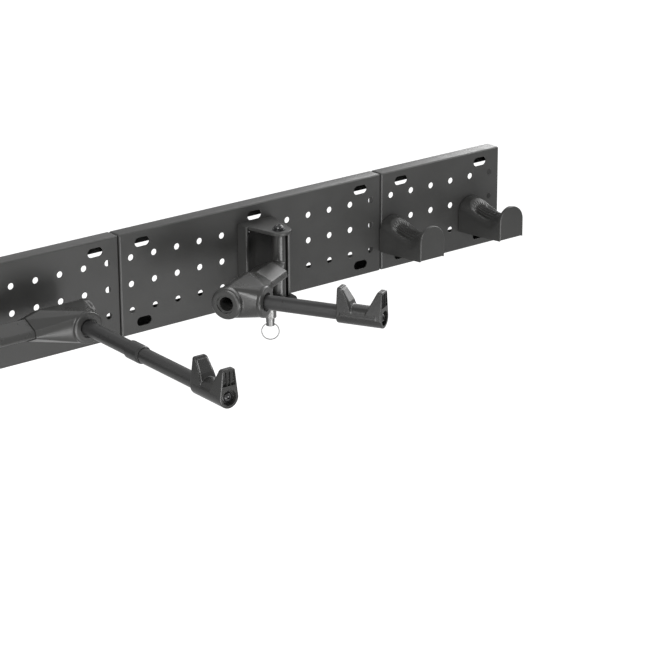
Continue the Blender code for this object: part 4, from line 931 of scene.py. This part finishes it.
for side, (_, hand, neck_angle) in PIVOTS.items():
    here = swing[side]
    foot = FOOT_TOP + THRUST_WASHER_THICKNESS + 2 * FIT
    top = BRACKET_TOP - LUG_THICKNESS - THRUST_WASHER_THICKNESS - 2 * FIT
    barrel = rod(BARREL_RADIUS, here((0, 0, foot)), here((0, 0, top)), soft=MACHINED_EDGE)
    lift = np.array((0.0, 0.0, NECK_LEVEL))
    block = np.concatenate([
        neck_section(NECK_START + CAST_EDGE, NECK_END_SHARE, CAST_EDGE),
        neck_section(NECK_START + NECK_CORNER, 1.0, CAST_EDGE),
        neck_section(SEAM_REACH + 2 * CAST_EDGE, 1.0, CAST_EDGE)]) + lift
    neck = rounded_hull(block, CAST_EDGE, here)
    ring = circle(BARREL_RADIUS - CAST_EDGE - FIT, ROOT_SIDES)
    root = [np.column_stack([ring, np.full(ROOT_SIDES, height)])
            for height in (NECK_ROOT_BOTTOM + CAST_EDGE, NECK_ROOT_TOP - CAST_EDGE)]
    root.append(neck_section(NECK_START + NECK_CORNER / 2, NECK_END_SHARE, CAST_EDGE) + lift)
    neck_root = rounded_hull(np.concatenate(root), CAST_EDGE, here)
    rest = neck_angle if hand > 0 else math.pi - neck_angle
    travel = NECK_STRAIGHT_OUT - rest
    index_steps = round(travel / INDEX_STEP)
    angles = [PIN_ANGLE - rest - travel * i / index_steps for i in range(index_steps + 1)]
    rim_arc = arc(INDEX_RADIUS, min(angles) - INDEX_MARGIN,
                  PIN_ANGLE - NECK_NEAR_WALL + INDEX_MARGIN, SECTOR_STEPS)
    sector = np.concatenate([[(0.0, 0.0)], rim_arc])
    disc = slab(sector, foot, foot + INDEX_THICKNESS, here, rim=INDEX_EDGE)
    bores = [rod(PIVOT_BOLT_RADIUS + FIT, here((0, 0, 2 * foot)), here((0, 0, 2 * top))),
             rod(HUB_BOLT_RADIUS + FIT, here((SEAM_REACH - HUB_BOLT_GRIP - FIT, 0, NECK_LEVEL)),
                 here((2 * SEAM_REACH, 0, NECK_LEVEL))),
             rod(SEAM_CUT_RADIUS, here((SEAM_REACH - FIT / 2, 0, NECK_LEVEL)),
                 here((SEAM_REACH + 5 * CAST_EDGE, 0, NECK_LEVEL)))]
    for angle in angles:
        x, y = PIN_DISTANCE * math.cos(angle), PIN_DISTANCE * math.sin(angle)
        bores.append(rod(INDEX_HOLE_RADIUS, here((x, y, foot - INDEX_DRILL_BELOW)),
                         here((x, y, foot + INDEX_DRILL_ABOVE)), sides=32))
    swivel = solid_of([barrel, neck, neck_root, disc], bores, CAST_VOXEL, CAST_RELAX)
    finished(side + "_swivel", swivel, cast_coat, side + "_swing_arm")


# Hubs
#
# A cast elbow clamped to the neck by a bolt down its axis: a round face with a deep bolt well, a
# round socket square to it for the arm tube, and tight webs between. Satin cast coat.

HUB_ROOT_REACH = 0.100
TUBE_AXIS_REACH = 0.1455
HUB_END_REACH = 0.1753
HUB_COLLAR_RADIUS = 0.0217
HUB_CORE_RADIUS = 0.0209
HUB_COLLAR_LENGTH = 0.009
SOCKET_COLLAR_LENGTH = 0.005
SOCKET_REACH = 0.0466
HUB_RECESS_RADIUS = 0.0125
HUB_RECESS_DEPTH = 0.003
HUB_WELL_RADIUS = 0.00975
HUB_WELL_FLOOR = 0.095
HUB_BOLT_HEAD_RADIUS = 0.008
HUB_BOLT_HEAD_HEIGHT = 0.010
HUB_BOLT_EDGE = 0.0005
HUB_BOLT_CLEARANCE = 3 * FIT
HUB_SOCKET_MOUTH = 0.0052
HUB_SOCKET_HALF_FLATS = 0.004
HUB_SOCKET_CHAMFER = 0.0004
HUB_SOCKET_FLOOR = 0.005
HUB_SOCKET_CENTRE = (0.0003, 0.0045)
WEB_BETWEEN_BORES = 0.003
TUBE_RADIUS = 0.010
BUSH_WALL = 0.0014
SOCKET_MOUTH_RADIUS = 0.013
SOCKET_MOUTH_DEPTH = 0.0022
FACE_FILLET = 0.0045
SOCKET_FILLET = 0.0028
BACK_FILLET = MACHINED_EDGE


def ring_cloud(radius, centre, first, second, sides=72):
    """Points on a circle in the plane of two directions."""
    flat = circle(radius, sides)
    return np.asarray(centre) + flat[:, :1] * np.asarray(first) + flat[:, 1:] * np.asarray(second)


tilt = {}
for side in PIVOTS:
    tilt[side] = Place(swing[side]((0.0, 0.0, NECK_LEVEL)), *swing[side].axes)
    here = tilt[side]
    collar_start = HUB_END_REACH - HUB_COLLAR_LENGTH
    socket_start = SOCKET_REACH - SOCKET_COLLAR_LENGTH
    core = HUB_CORE_RADIUS - CAST_EDGE
    cloud = [neck_section(SEAM_REACH - 2 * CAST_EDGE, 1.0, CAST_EDGE),
             ring_cloud(core, (HUB_ROOT_REACH, 0, 0), (0, 1, 0), UP),
             ring_cloud(core, (collar_start, 0, 0), (0, 1, 0), UP),
             ring_cloud(core, (TUBE_AXIS_REACH, socket_start, 0), (1, 0, 0), UP)]
    for level in (-1, 1):
        rise = level * (HUB_COLLAR_RADIUS - CAST_EDGE)
        cloud.append(np.array([(HUB_ROOT_REACH, 0, rise), (collar_start, 0, rise),
                               (TUBE_AXIS_REACH, socket_start, rise)]))
    body = rounded_hull(np.concatenate(cloud), CAST_EDGE, here)
    face = turned([(0.0, 0.0), (HUB_COLLAR_RADIUS, 0.0), (HUB_COLLAR_RADIUS, HUB_COLLAR_LENGTH),
                   (0.0, HUB_COLLAR_LENGTH)], here((collar_start, 0, 0)), here.way((1, 0, 0)),
                  (0.0, BACK_FILLET, FACE_FILLET, 0.0))
    socket = turned([(0.0, 0.0), (HUB_COLLAR_RADIUS, 0.0),
                     (HUB_COLLAR_RADIUS, SOCKET_COLLAR_LENGTH),
                     (0.0, SOCKET_COLLAR_LENGTH)], here((TUBE_AXIS_REACH, socket_start, 0)),
                    here.way((0, 1, 0)), (0.0, BACK_FILLET, SOCKET_FILLET, 0.0))
    socket_floor = HUB_WELL_RADIUS + WEB_BETWEEN_BORES
    bores = [rod(HUB_WELL_RADIUS, here((HUB_WELL_FLOOR, 0, 0)), here((2 * HUB_END_REACH, 0, 0))),
             rod(HUB_RECESS_RADIUS, here((HUB_END_REACH - HUB_RECESS_DEPTH, 0, 0)),
                 here((2 * HUB_END_REACH, 0, 0)), soft=MACHINED_EDGE),
             rod(TUBE_RADIUS + BUSH_WALL + 2 * FIT, here((TUBE_AXIS_REACH, socket_floor, 0)),
                 here((TUBE_AXIS_REACH, 2 * SOCKET_REACH, 0))),
             rod(SOCKET_MOUTH_RADIUS, here((TUBE_AXIS_REACH, SOCKET_REACH - SOCKET_MOUTH_DEPTH, 0)),
                 here((TUBE_AXIS_REACH, 2 * SOCKET_REACH, 0)), soft=MACHINED_EDGE),
             rod(HUB_BOLT_RADIUS + HUB_BOLT_CLEARANCE, here((SEAM_REACH / 2, 0, 0)),
                 here((HUB_END_REACH, 0, 0))),
             rod(SEAM_CUT_RADIUS, here((SEAM_REACH - 5 * CAST_EDGE, 0, 0)),
                 here((SEAM_REACH + FIT / 2, 0, 0)))]
    hub = solid_of([body, face, socket], bores, CAST_VOXEL, CAST_RELAX)
    finished(side + "_hub", hub, cast_coat, side + "_tilt_arm")

    shank_tip = SEAM_REACH - HUB_BOLT_GRIP
    head_seat = HUB_WELL_FLOOR + HUB_BOLT_CLEARANCE
    head_top = head_seat + HUB_BOLT_HEAD_HEIGHT
    way = here.way((1, 0, 0))
    outside = turned_rows(softened([
        (0.0, shank_tip), (HUB_BOLT_RADIUS, shank_tip), (HUB_BOLT_RADIUS, head_seat),
        (HUB_BOLT_HEAD_RADIUS, head_seat), (HUB_BOLT_HEAD_RADIUS, head_top),
        (HUB_SOCKET_MOUTH, head_top)], HUB_BOLT_EDGE), here.origin, way, BOLT_SIDES)
    inside = turned_rows([
        (HUB_SOCKET_HALF_FLATS, head_top - HUB_SOCKET_CHAMFER),
        (HUB_SOCKET_HALF_FLATS, head_seat + HUB_SOCKET_FLOOR),
        (HUB_SOCKET_CENTRE[0], head_seat + HUB_SOCKET_CENTRE[1])],
        here.origin, way, BOLT_SIDES, hexagonal)
    bolt = skin(np.concatenate([outside, inside]))
    finished(side + "_hub_bolt", [bolt], black_oxide, side + "_swing_arm")


# Arm tubes
#
# A drawn steel tube turns down to carry the frame. It sits in a nylon bush in the hub's socket,
# with a threaded zinc plug in its end. The left arm has an extension joined by a collar.

TUBE_WALL = 0.0018
BUSH_SETBACK = 0.003
ARM_TUBE_LENGTH = 0.1902
EXTENSION_LENGTH = 0.143
COUPLING_LENGTH = 0.0295
COUPLING_WALL = 0.0017
COUPLING_OUTWARD = 0.003
COUPLING_CONE = 0.0035
COUPLING_LIP = 0.0006
COUPLING_EDGE = 0.0008
PLUG_LENGTH = 0.024
PLUG_BORE_RADIUS = 0.00315
NARROW_EDGE = 0.0003
TUBE_EDGE = 0.0004

tube_coat = coating("semi_gloss_tube_coat", (0.024, 0.024, 0.024), (0.030, 0.030, 0.030),
                    roughness=0.31, spread=0.04, grain=0.0016, depth=0.00002, specular=0.35)
zinc_plate = bare_metal("bright_zinc_plate", (0.13, 0.13, 0.13), (0.21, 0.21, 0.205),
                        roughness=0.36, spread=0.06, metallic=1.0, scratch_depth=0.00002)


def sleeve(outer, inner, start, end, place, soft, cone=0.0):
    """A tube along the arm's own line, with rounded ends. A cone narrows its outer end."""
    loop = [(outer, end - cone), (outer, start), (inner, start), (inner, end)]
    if cone:
        loop.append((inner + COUPLING_LIP, end))
    return bored(loop, place.origin, place.way((0, 1, 0)), soft)


arm = {}
tube_end = {}
for side in PIVOTS:
    arm[side] = Place(tilt[side]((TUBE_AXIS_REACH, 0.0, 0.0)), *tilt[side].axes)
    here = arm[side]
    body = side + "_tilt_arm"
    inner = TUBE_RADIUS - TUBE_WALL
    start = HUB_WELL_RADIUS + WEB_BETWEEN_BORES + FIT
    pieces = {"socket_bush": (TUBE_RADIUS + FIT + BUSH_WALL, TUBE_RADIUS + FIT, start,
                              SOCKET_REACH - BUSH_SETBACK, grained_nylon, "black_plastic",
                              NARROW_EDGE)}
    if side == "left":
        joint = start + EXTENSION_LENGTH
        middle = joint + COUPLING_OUTWARD
        pieces["extension_tube"] = (TUBE_RADIUS, inner, start, joint, tube_coat,
                                    "black_tube_coat", TUBE_EDGE)
        pieces["coupling_collar"] = (TUBE_RADIUS + FIT + COUPLING_WALL, TUBE_RADIUS + FIT,
                                     middle - COUPLING_LENGTH / 2, middle + COUPLING_LENGTH / 2,
                                     tube_coat, "black_tube_coat", COUPLING_EDGE)
        start = joint + FIT
    tube_end[side] = start + ARM_TUBE_LENGTH
    pieces["arm_tube"] = (TUBE_RADIUS, inner, start, tube_end[side], tube_coat,
                          "black_tube_coat", TUBE_EDGE)
    pieces["tube_plug"] = (inner - FIT, PLUG_BORE_RADIUS, tube_end[side] - PLUG_LENGTH,
                           tube_end[side], zinc_plate, "zinc_plated_steel", NARROW_EDGE)
    for kind, (outer, bore, first, last, material, finish, soft) in pieces.items():
        cone = COUPLING_CONE if kind == "coupling_collar" else 0.0
        tube = sleeve(outer, bore, first, last, here, soft, cone)
        finished("%s_%s" % (side, kind), [tube], material, body)


# Cradles
#
# A moulded nylon head holds a frame tube between two jaws, the inner one taller and padded. Its
# end face has ribs above the screw that draws it onto the tube's plug.

smooth_nylon = coating("smooth_nylon", (0.014, 0.014, 0.0135), (0.019, 0.019, 0.018),
                       roughness=0.26, spread=0.03, grain=0.0006, depth=0.00001)

CRADLE_LENGTH = 0.0635
CRADLE_RADIUS = 0.0138
CRADLE_TOP = 0.0365
CRADLE_TOP_WIDTH = 0.019
CRADLE_CORNER = 0.003
CRADLE_RIM = 0.0009
CRADLE_BOTTOM_STEPS = 40
CRADLE_CORNER_STEPS = 8
MOULD_VOXEL = 0.0005
MOULD_RELAX = 4
INNER_JAW_TOP = 0.0055
OUTER_JAW_TOP = 0.0075
JAW_FOOT = 0.0225
JAW_KNEE = (0.0165, 0.0185)
JAW_FLARE = 0.006
JAW_SHOULDER = CRADLE_TOP - 0.001
MOUTH_ROUNDING = (0.0, 0.001, 0.006, 0.001, 0.001, 0.004, 0.001, 0.0)
MOUTH_RIM = 0.0001
CUTTER_RUN = 0.002
SCREW_WALL = 0.004
SCREW_RECESS_RADIUS = 0.0100
SCREW_RECESS_DEPTH = 0.006
SCREW_RECESS_EDGE = 0.0004
CRADLE_SCREW_RADIUS = 0.003
CRADLE_SCREW_HEAD = 0.007
CRADLE_SCREW_HEAD_HEIGHT = 0.0046
CRADLE_SCREW_LENGTH = 0.022
PANEL_WIDTH = 0.0045
PANEL_DEPTH = 0.0036
PANEL_RIB = 0.0014
PANEL_EDGE = 0.0028
PANEL_LEAN = 0.0008
PANEL_CORNER = 0.0006
PANEL_RIM = 0.0004
PANEL_CUTTER_RUN = 0.003
PAD_LINE = ((INNER_JAW_TOP + 0.0018, CRADLE_TOP - 0.0035), JAW_KNEE, (0.0205, 0.007))
PAD_INSET = 0.0032
PAD_ROOT = 0.002
PAD_HEIGHT = 0.0013
PAD_ROUNDING = 0.0008
SIDE_VIEW = ((0.0, 1.0, 0.0), (0.0, 0.0, 1.0), (1.0, 0.0, 0.0))


def cradle_outline():
    """The end view: a half circle about the tube and sides that lean in to a narrower top."""
    half_top = CRADLE_TOP_WIDTH / 2
    low = arc(CRADLE_RADIUS, -np.pi, 0.0, CRADLE_BOTTOM_STEPS)
    right = arc(CRADLE_CORNER, 0.0, np.pi / 2, CRADLE_CORNER_STEPS,
                (half_top - CRADLE_CORNER, CRADLE_TOP - CRADLE_CORNER))
    left = arc(CRADLE_CORNER, np.pi / 2, np.pi, CRADLE_CORNER_STEPS,
               (CRADLE_CORNER - half_top, CRADLE_TOP - CRADLE_CORNER))
    return np.concatenate([low[:-1], right, left])


def skin_of(mesh):
    """A finished mesh as a skin of triangles, to join it with others again."""
    points = np.empty(len(mesh.vertices) * 3)
    mesh.vertices.foreach_get("co", points)
    mesh.calc_loop_triangles()
    tris = np.empty(len(mesh.loop_triangles) * 3, int)
    mesh.loop_triangles.foreach_get("vertices", tris)
    return points.reshape(-1, 3), np.zeros((0, 4), int), tris.reshape(-1, 3)


for side in PIVOTS:
    here = arm[side]
    end = tube_end[side] + FIT + SCREW_WALL + SCREW_RECESS_DEPTH
    start = end - CRADLE_LENGTH
    blank = slab(cradle_outline(), start, end, here, rim=CRADLE_RIM, turn=EDGE_ON)
    above = 2 * CRADLE_TOP
    mouth_outline = softened([
        (start + INNER_JAW_TOP - JAW_FLARE, above), (start + INNER_JAW_TOP, JAW_SHOULDER),
        (start + JAW_KNEE[0], JAW_KNEE[1]), (start + JAW_FOOT, 0.0),
        (end - JAW_FOOT, 0.0), (end - JAW_FOOT, CRADLE_RADIUS / 2),
        (end - OUTER_JAW_TOP, JAW_SHOULDER), (end - OUTER_JAW_TOP + JAW_FLARE, above)],
        MOUTH_ROUNDING, closed=True)
    mouth = slab(mouth_outline, -2 * CRADLE_RADIUS, 2 * CRADLE_RADIUS, here, rim=MOUTH_RIM,
                 turn=SIDE_VIEW)
    waist = rod(CRADLE_RADIUS, here((0, start + INNER_JAW_TOP, 0)),
                here((0, end - OUTER_JAW_TOP, 0)))
    pad_cloud = []
    for y, z in PAD_LINE:
        jaw_half = CRADLE_RADIUS + (CRADLE_TOP_WIDTH / 2 - CRADLE_RADIUS) * z / CRADLE_TOP
        pad_half = jaw_half - PAD_INSET
        pad_cloud += [(x, start + y + lift, z) for x in (-pad_half, pad_half)
                      for lift in (-PAD_ROOT, PAD_HEIGHT - PAD_ROUNDING)]
    pad = rounded_hull(np.array(pad_cloud), PAD_ROUNDING, here)
    jaws = skin_of(solid_of([blank], [mouth]))
    cutters = [rod(TUBE_RADIUS + FIT, here((0, start - CUTTER_RUN, 0)),
                   here((0, tube_end[side] + FIT, 0))),
               rod(SCREW_RECESS_RADIUS, here((0, end - SCREW_RECESS_DEPTH, 0)),
                   here((0, end + CUTTER_RUN, 0)), soft=SCREW_RECESS_EDGE),
               rod(CRADLE_SCREW_RADIUS + FIT, here((0, tube_end[side] - CUTTER_RUN, 0)),
                   here((0, end, 0)))]
    panel_low = CRADLE_RADIUS + PANEL_RIB
    panel_high = CRADLE_TOP - PANEL_EDGE
    for column in (-1, 0, 1):
        centre = column * (PANEL_WIDTH + PANEL_RIB)
        half_low = PANEL_WIDTH / 2 + PANEL_LEAN * abs(column)
        half_high = PANEL_WIDTH / 2
        panel = softened([(centre - half_low, panel_low), (centre + half_low, panel_low),
                          (centre + half_high, panel_high), (centre - half_high, panel_high)],
                         PANEL_CORNER, closed=True)
        cutters.append(slab(panel, end - PANEL_DEPTH, end + PANEL_CUTTER_RUN, here,
                            rim=PANEL_RIM, turn=EDGE_ON))
    cradle = solid_of([jaws, waist, pad], cutters, MOULD_VOXEL, MOULD_RELAX)
    finished(side + "_cradle", cradle, smooth_nylon, side + "_cradle_head")

    seat = tube_end[side] + FIT + SCREW_WALL + FIT
    screw = headed_bolt(CRADLE_SCREW_HEAD, CRADLE_SCREW_HEAD_HEIGHT, CRADLE_SCREW_RADIUS,
                        seat - CRADLE_SCREW_LENGTH, seat, here.origin, here.way((0, 1, 0)),
                        socket=0.0021, floor=0.0012, flange=0.0011)
    finished(side + "_cradle_screw", [screw], black_oxide, side + "_tilt_arm")


# Pull pins
#
# A turned housing screwed up into the foot holds a spring pin, which drops out of the index disc
# when its ring is pulled. Bright zinc plate, with a ring of dull spring wire.

PIN_SHAFT_RADIUS = 0.003
PIN_KNOB_RADIUS = 0.006
PIN_TRAVEL = 0.007
PIN_HOUSING_RADIUS = 0.0086
PIN_HOUSING_LENGTH = 0.015
PIN_KNOB_SHOWN = 0.0122
PIN_KNOB_HIDDEN = 0.0023
PIN_RING_ABOVE_END = 0.0035
PIN_PARKED_BELOW_DISC = 0.0011
PIN_HOUSING_EDGE = 0.0005
PIN_EDGE = 0.0008
RING_HOLE_RADIUS = 0.0017
RING_HOLE_PROFILE = ((0.0, -0.012), (0.0030, -0.012), (0.0026, -0.0055),
                     (RING_HOLE_RADIUS, -0.0036), (RING_HOLE_RADIUS, 0.0036),
                     (0.0026, 0.0055), (0.0030, 0.012), (0.0, 0.012))
RING_RADIUS = 0.01205
RING_STEPS = 96
RING_WIRE_RADIUS = 0.00075
RING_WIRE_SIDES = 16
RING_AXIS_ANGLE = math.radians(-38.0)

spring_wire = bare_metal("dull_spring_wire", (0.17, 0.17, 0.17), (0.25, 0.25, 0.245),
                         roughness=0.32, spread=0.06, metallic=1.0, scratch_depth=0.00002)

for side in PIVOTS:
    here = Place(fixed[side]((PIN_DISTANCE * math.cos(PIN_ANGLE),
                              PIN_DISTANCE * math.sin(PIN_ANGLE), 0.0)), *fixed[side].axes)
    shoulder = FOOT_TOP - FOOT_THICKNESS - FIT
    housing_end = shoulder - PIN_HOUSING_LENGTH
    knob_top = housing_end + PIN_KNOB_HIDDEN
    knob_bore = PIN_KNOB_RADIUS + FIT
    bore_floor = knob_top + PIN_TRAVEL + FIT
    shaft_bore = PIN_SHAFT_RADIUS + FIT
    housing = bored([
        (PIN_SPIGOT_RADIUS, FOOT_TOP - FIT), (PIN_SPIGOT_RADIUS, shoulder),
        (PIN_HOUSING_RADIUS, shoulder), (PIN_HOUSING_RADIUS, housing_end),
        (knob_bore, housing_end), (knob_bore, bore_floor), (shaft_bore, bore_floor),
        (shaft_bore, FOOT_TOP - FIT)], here.origin, UP, PIN_HOUSING_EDGE)
    finished(side + "_pin_housing", [housing], zinc_plate, "root")

    shaft_top = FOOT_TOP + THRUST_WASHER_THICKNESS + 2 * FIT - PIN_PARKED_BELOW_DISC
    knob_end = housing_end - PIN_KNOB_SHOWN
    pin = turned([(0.0, shaft_top), (PIN_SHAFT_RADIUS, shaft_top), (PIN_SHAFT_RADIUS, knob_top),
                  (PIN_KNOB_RADIUS, knob_top), (PIN_KNOB_RADIUS, knob_end), (0.0, knob_end)],
                 here.origin, UP, PIN_EDGE)
    ring_level = knob_end + PIN_RING_ABOVE_END
    across = here.way((math.cos(RING_AXIS_ANGLE), math.sin(RING_AXIS_ANGLE), 0.0))
    eye = here((0.0, 0.0, ring_level))
    ring_hole = turned(RING_HOLE_PROFILE, eye, across, PIN_EDGE)
    finished(side + "_lock_pin", solid_of([pin], [ring_hole]), zinc_plate, side + "_pull_pin")

    along = np.cross(across, UP)
    centre = eye - np.array(UP) * RING_RADIUS
    around = 2 * np.pi * np.arange(RING_STEPS)[:, None] / RING_STEPS
    about = 2 * np.pi * np.arange(RING_WIRE_SIDES)[None, :] / RING_WIRE_SIDES
    spread = (RING_RADIUS + RING_WIRE_RADIUS * np.cos(about))[..., None]
    rows = (centre + spread * (np.cos(around)[..., None] * across
                               + np.sin(around)[..., None] * np.array(UP))
            + (RING_WIRE_RADIUS * np.sin(about))[..., None] * along)
    finished(side + "_pin_ring", [loop_skin(rows)], spring_wire, side + "_pull_ring")


# Camera
#
# The photograph is a long-lens view from the left front and a little above. The camera's place
# and turn were solved from the rail's grid of holes.

CAMERA_PLACE = (-2.0701, -2.8362, 1.0934)
CAMERA_TURN = math.radians(37.938)
CAMERA_DROP = math.radians(19.926)
CAMERA_ROLL = math.radians(-0.344)
CAMERA_LENS = 146.82

camera_data = bpy.data.cameras.new("camera")
camera_data.lens = CAMERA_LENS
camera_data.sensor_width = 36.0
camera_data.clip_end = 100.0
camera = bpy.data.objects.new("camera", camera_data)
bpy.context.scene.collection.objects.link(camera)
view = np.array((math.sin(CAMERA_TURN) * math.cos(CAMERA_DROP),
                 math.cos(CAMERA_TURN) * math.cos(CAMERA_DROP), -math.sin(CAMERA_DROP)))
level_right = np.array((math.cos(CAMERA_TURN), -math.sin(CAMERA_TURN), 0.0))
level_up = np.cross(level_right, view)
right = math.cos(CAMERA_ROLL) * level_right + math.sin(CAMERA_ROLL) * level_up
upward = -math.sin(CAMERA_ROLL) * level_right + math.cos(CAMERA_ROLL) * level_up
turn = Matrix(np.column_stack([right, upward, -view]).tolist()).to_4x4()
camera.matrix_world = Matrix.Translation(CAMERA_PLACE) @ turn
bpy.context.scene.camera = camera


# Floor and background
#
# A pale studio floor well below the rack, and a white surround. Both are white to the lens and
# dimmer to shiny surfaces, and light the rack only faintly.

FLOOR_LEVEL = -2.3
FLOOR_SIZE = 24.0
FLOOR_FADE = (3.0, 5.0)
FLOOR_GLOW = 0.8
MIRROR_SHARE = 0.5
FILL_LIGHT = 0.24


def white_to_lens(nodes):
    """1 for rays that come from the lens or glass, a share of it for rays that come from a shiny
    surface, and 0 for the rest."""
    path = nodes.new("ShaderNodeLightPath")
    seen = nodes.new("ShaderNodeMath")
    seen.operation = "MULTIPLY_ADD"
    seen.inputs[1].default_value = MIRROR_SHARE
    either = nodes.new("ShaderNodeMath")
    either.operation = "ADD"
    either.use_clamp = True
    tree = nodes.id_data
    tree.links.new(path.outputs["Is Glossy Ray"], seen.inputs[0])
    tree.links.new(path.outputs["Is Camera Ray"], seen.inputs[2])
    tree.links.new(seen.outputs[0], either.inputs[0])
    tree.links.new(path.outputs["Is Transmission Ray"], either.inputs[1])
    return either.outputs[0]


floor_mesh = bpy.data.meshes.new("floor")
reach = FLOOR_SIZE / 2
floor_mesh.from_pydata([(-reach, -reach, FLOOR_LEVEL), (reach, -reach, FLOOR_LEVEL),
                        (reach, reach, FLOOR_LEVEL), (-reach, reach, FLOOR_LEVEL)], [],
                       [(0, 1, 2, 3)])
floor = bpy.data.objects.new("floor", floor_mesh)
bpy.context.scene.collection.objects.link(floor)
floor_paint = bpy.data.materials.new("pale_floor")
floor_paint.use_nodes = True
floor_nodes = floor_paint.node_tree.nodes
floor_surface = floor_nodes["Principled BSDF"]
floor_surface.inputs["Base Color"].default_value = (0.4, 0.4, 0.4, 1.0)
floor_surface.inputs["Roughness"].default_value = 0.9
floor_surface.inputs["Emission Color"].default_value = (1.0, 1.0, 1.0, 1.0)
floor_place = floor_nodes.new("ShaderNodeTexCoord")
far_off = floor_nodes.new("ShaderNodeVectorMath")
far_off.operation = "LENGTH"
fade = shader_node(floor_nodes, "ShaderNodeMapRange", From_Min=FLOOR_FADE[0],
                   From_Max=FLOOR_FADE[1], To_Min=FLOOR_GLOW, To_Max=1.0)
glow = floor_nodes.new("ShaderNodeMath")
glow.operation = "MULTIPLY"
links(floor_nodes, (floor_place, "Object", far_off, 0), (far_off, "Value", fade, "Value"),
      (fade, "Result", glow, 1))
floor_paint.node_tree.links.new(white_to_lens(floor_nodes), glow.inputs[0])
floor_paint.node_tree.links.new(glow.outputs[0], floor_surface.inputs["Emission Strength"])
floor_mesh.materials.append(floor_paint)

world = bpy.data.worlds.new("studio")
world.use_nodes = True
bpy.context.scene.world = world
world_nodes = world.node_tree.nodes
background = world_nodes["Background"]
background.inputs["Color"].default_value = (1.0, 1.0, 1.0, 1.0)
strength = shader_node(world_nodes, "ShaderNodeMapRange", To_Min=FILL_LIGHT, To_Max=1.0)
world.node_tree.links.new(white_to_lens(world_nodes), strength.inputs["Value"])
world.node_tree.links.new(strength.outputs["Result"], background.inputs["Strength"])


# Lights
#
# Large soft boxes: bright ones low in front and high at the left, weaker ones low at the side, at
# the left and high at the right, and two long banks at the right behind the rail's line, which
# rake over the tops. A faint one stands almost overhead.

AIM = np.array((0.0, -0.08, -0.07))
LAMP_DISTANCE = 4.0


def soft_box(name, azimuth, elevation, size, radiance):
    """A rectangular area light that faces the rack. The azimuth is in degrees from straight in
    front towards the right, and the power is pi times the radiance times the area."""
    turn, rise = math.radians(azimuth), math.radians(elevation)
    way = np.array((math.sin(turn) * math.cos(rise), -math.cos(turn) * math.cos(rise),
                    math.sin(rise)))
    data = bpy.data.lights.new(name, "AREA")
    data.shape = "RECTANGLE"
    data.size, data.size_y = size
    data.energy = radiance * math.pi * size[0] * size[1]
    lamp = bpy.data.objects.new(name, data)
    lamp.location = AIM + way * LAMP_DISTANCE
    lamp.rotation_mode = "QUATERNION"
    lamp.rotation_quaternion = Vector(way).to_track_quat("Z", "Y")
    bpy.context.scene.collection.objects.link(lamp)


soft_box("low_front_box", 0, -20, (2.2, 1.4), 8.2)
soft_box("low_side_box", -42, -20, (1.7, 1.4), 4.2)
soft_box("left_box", -65, -2, (1.8, 2.6), 3.6)
soft_box("high_left_box", -60, 35, (1.8, 1.8), 9.0)
soft_box("high_right_box", 60, 35, (1.8, 1.8), 5.0)
soft_box("back_bank", 112, 15, (3.4, 1.8), 4.6)
soft_box("high_back_bank", 115, 42, (2.9, 1.6), 2.3)
soft_box("top_box", 153, 66, (1.8, 1.8), 0.9)

scene = bpy.context.scene
scene.view_settings.view_transform = "Standard"
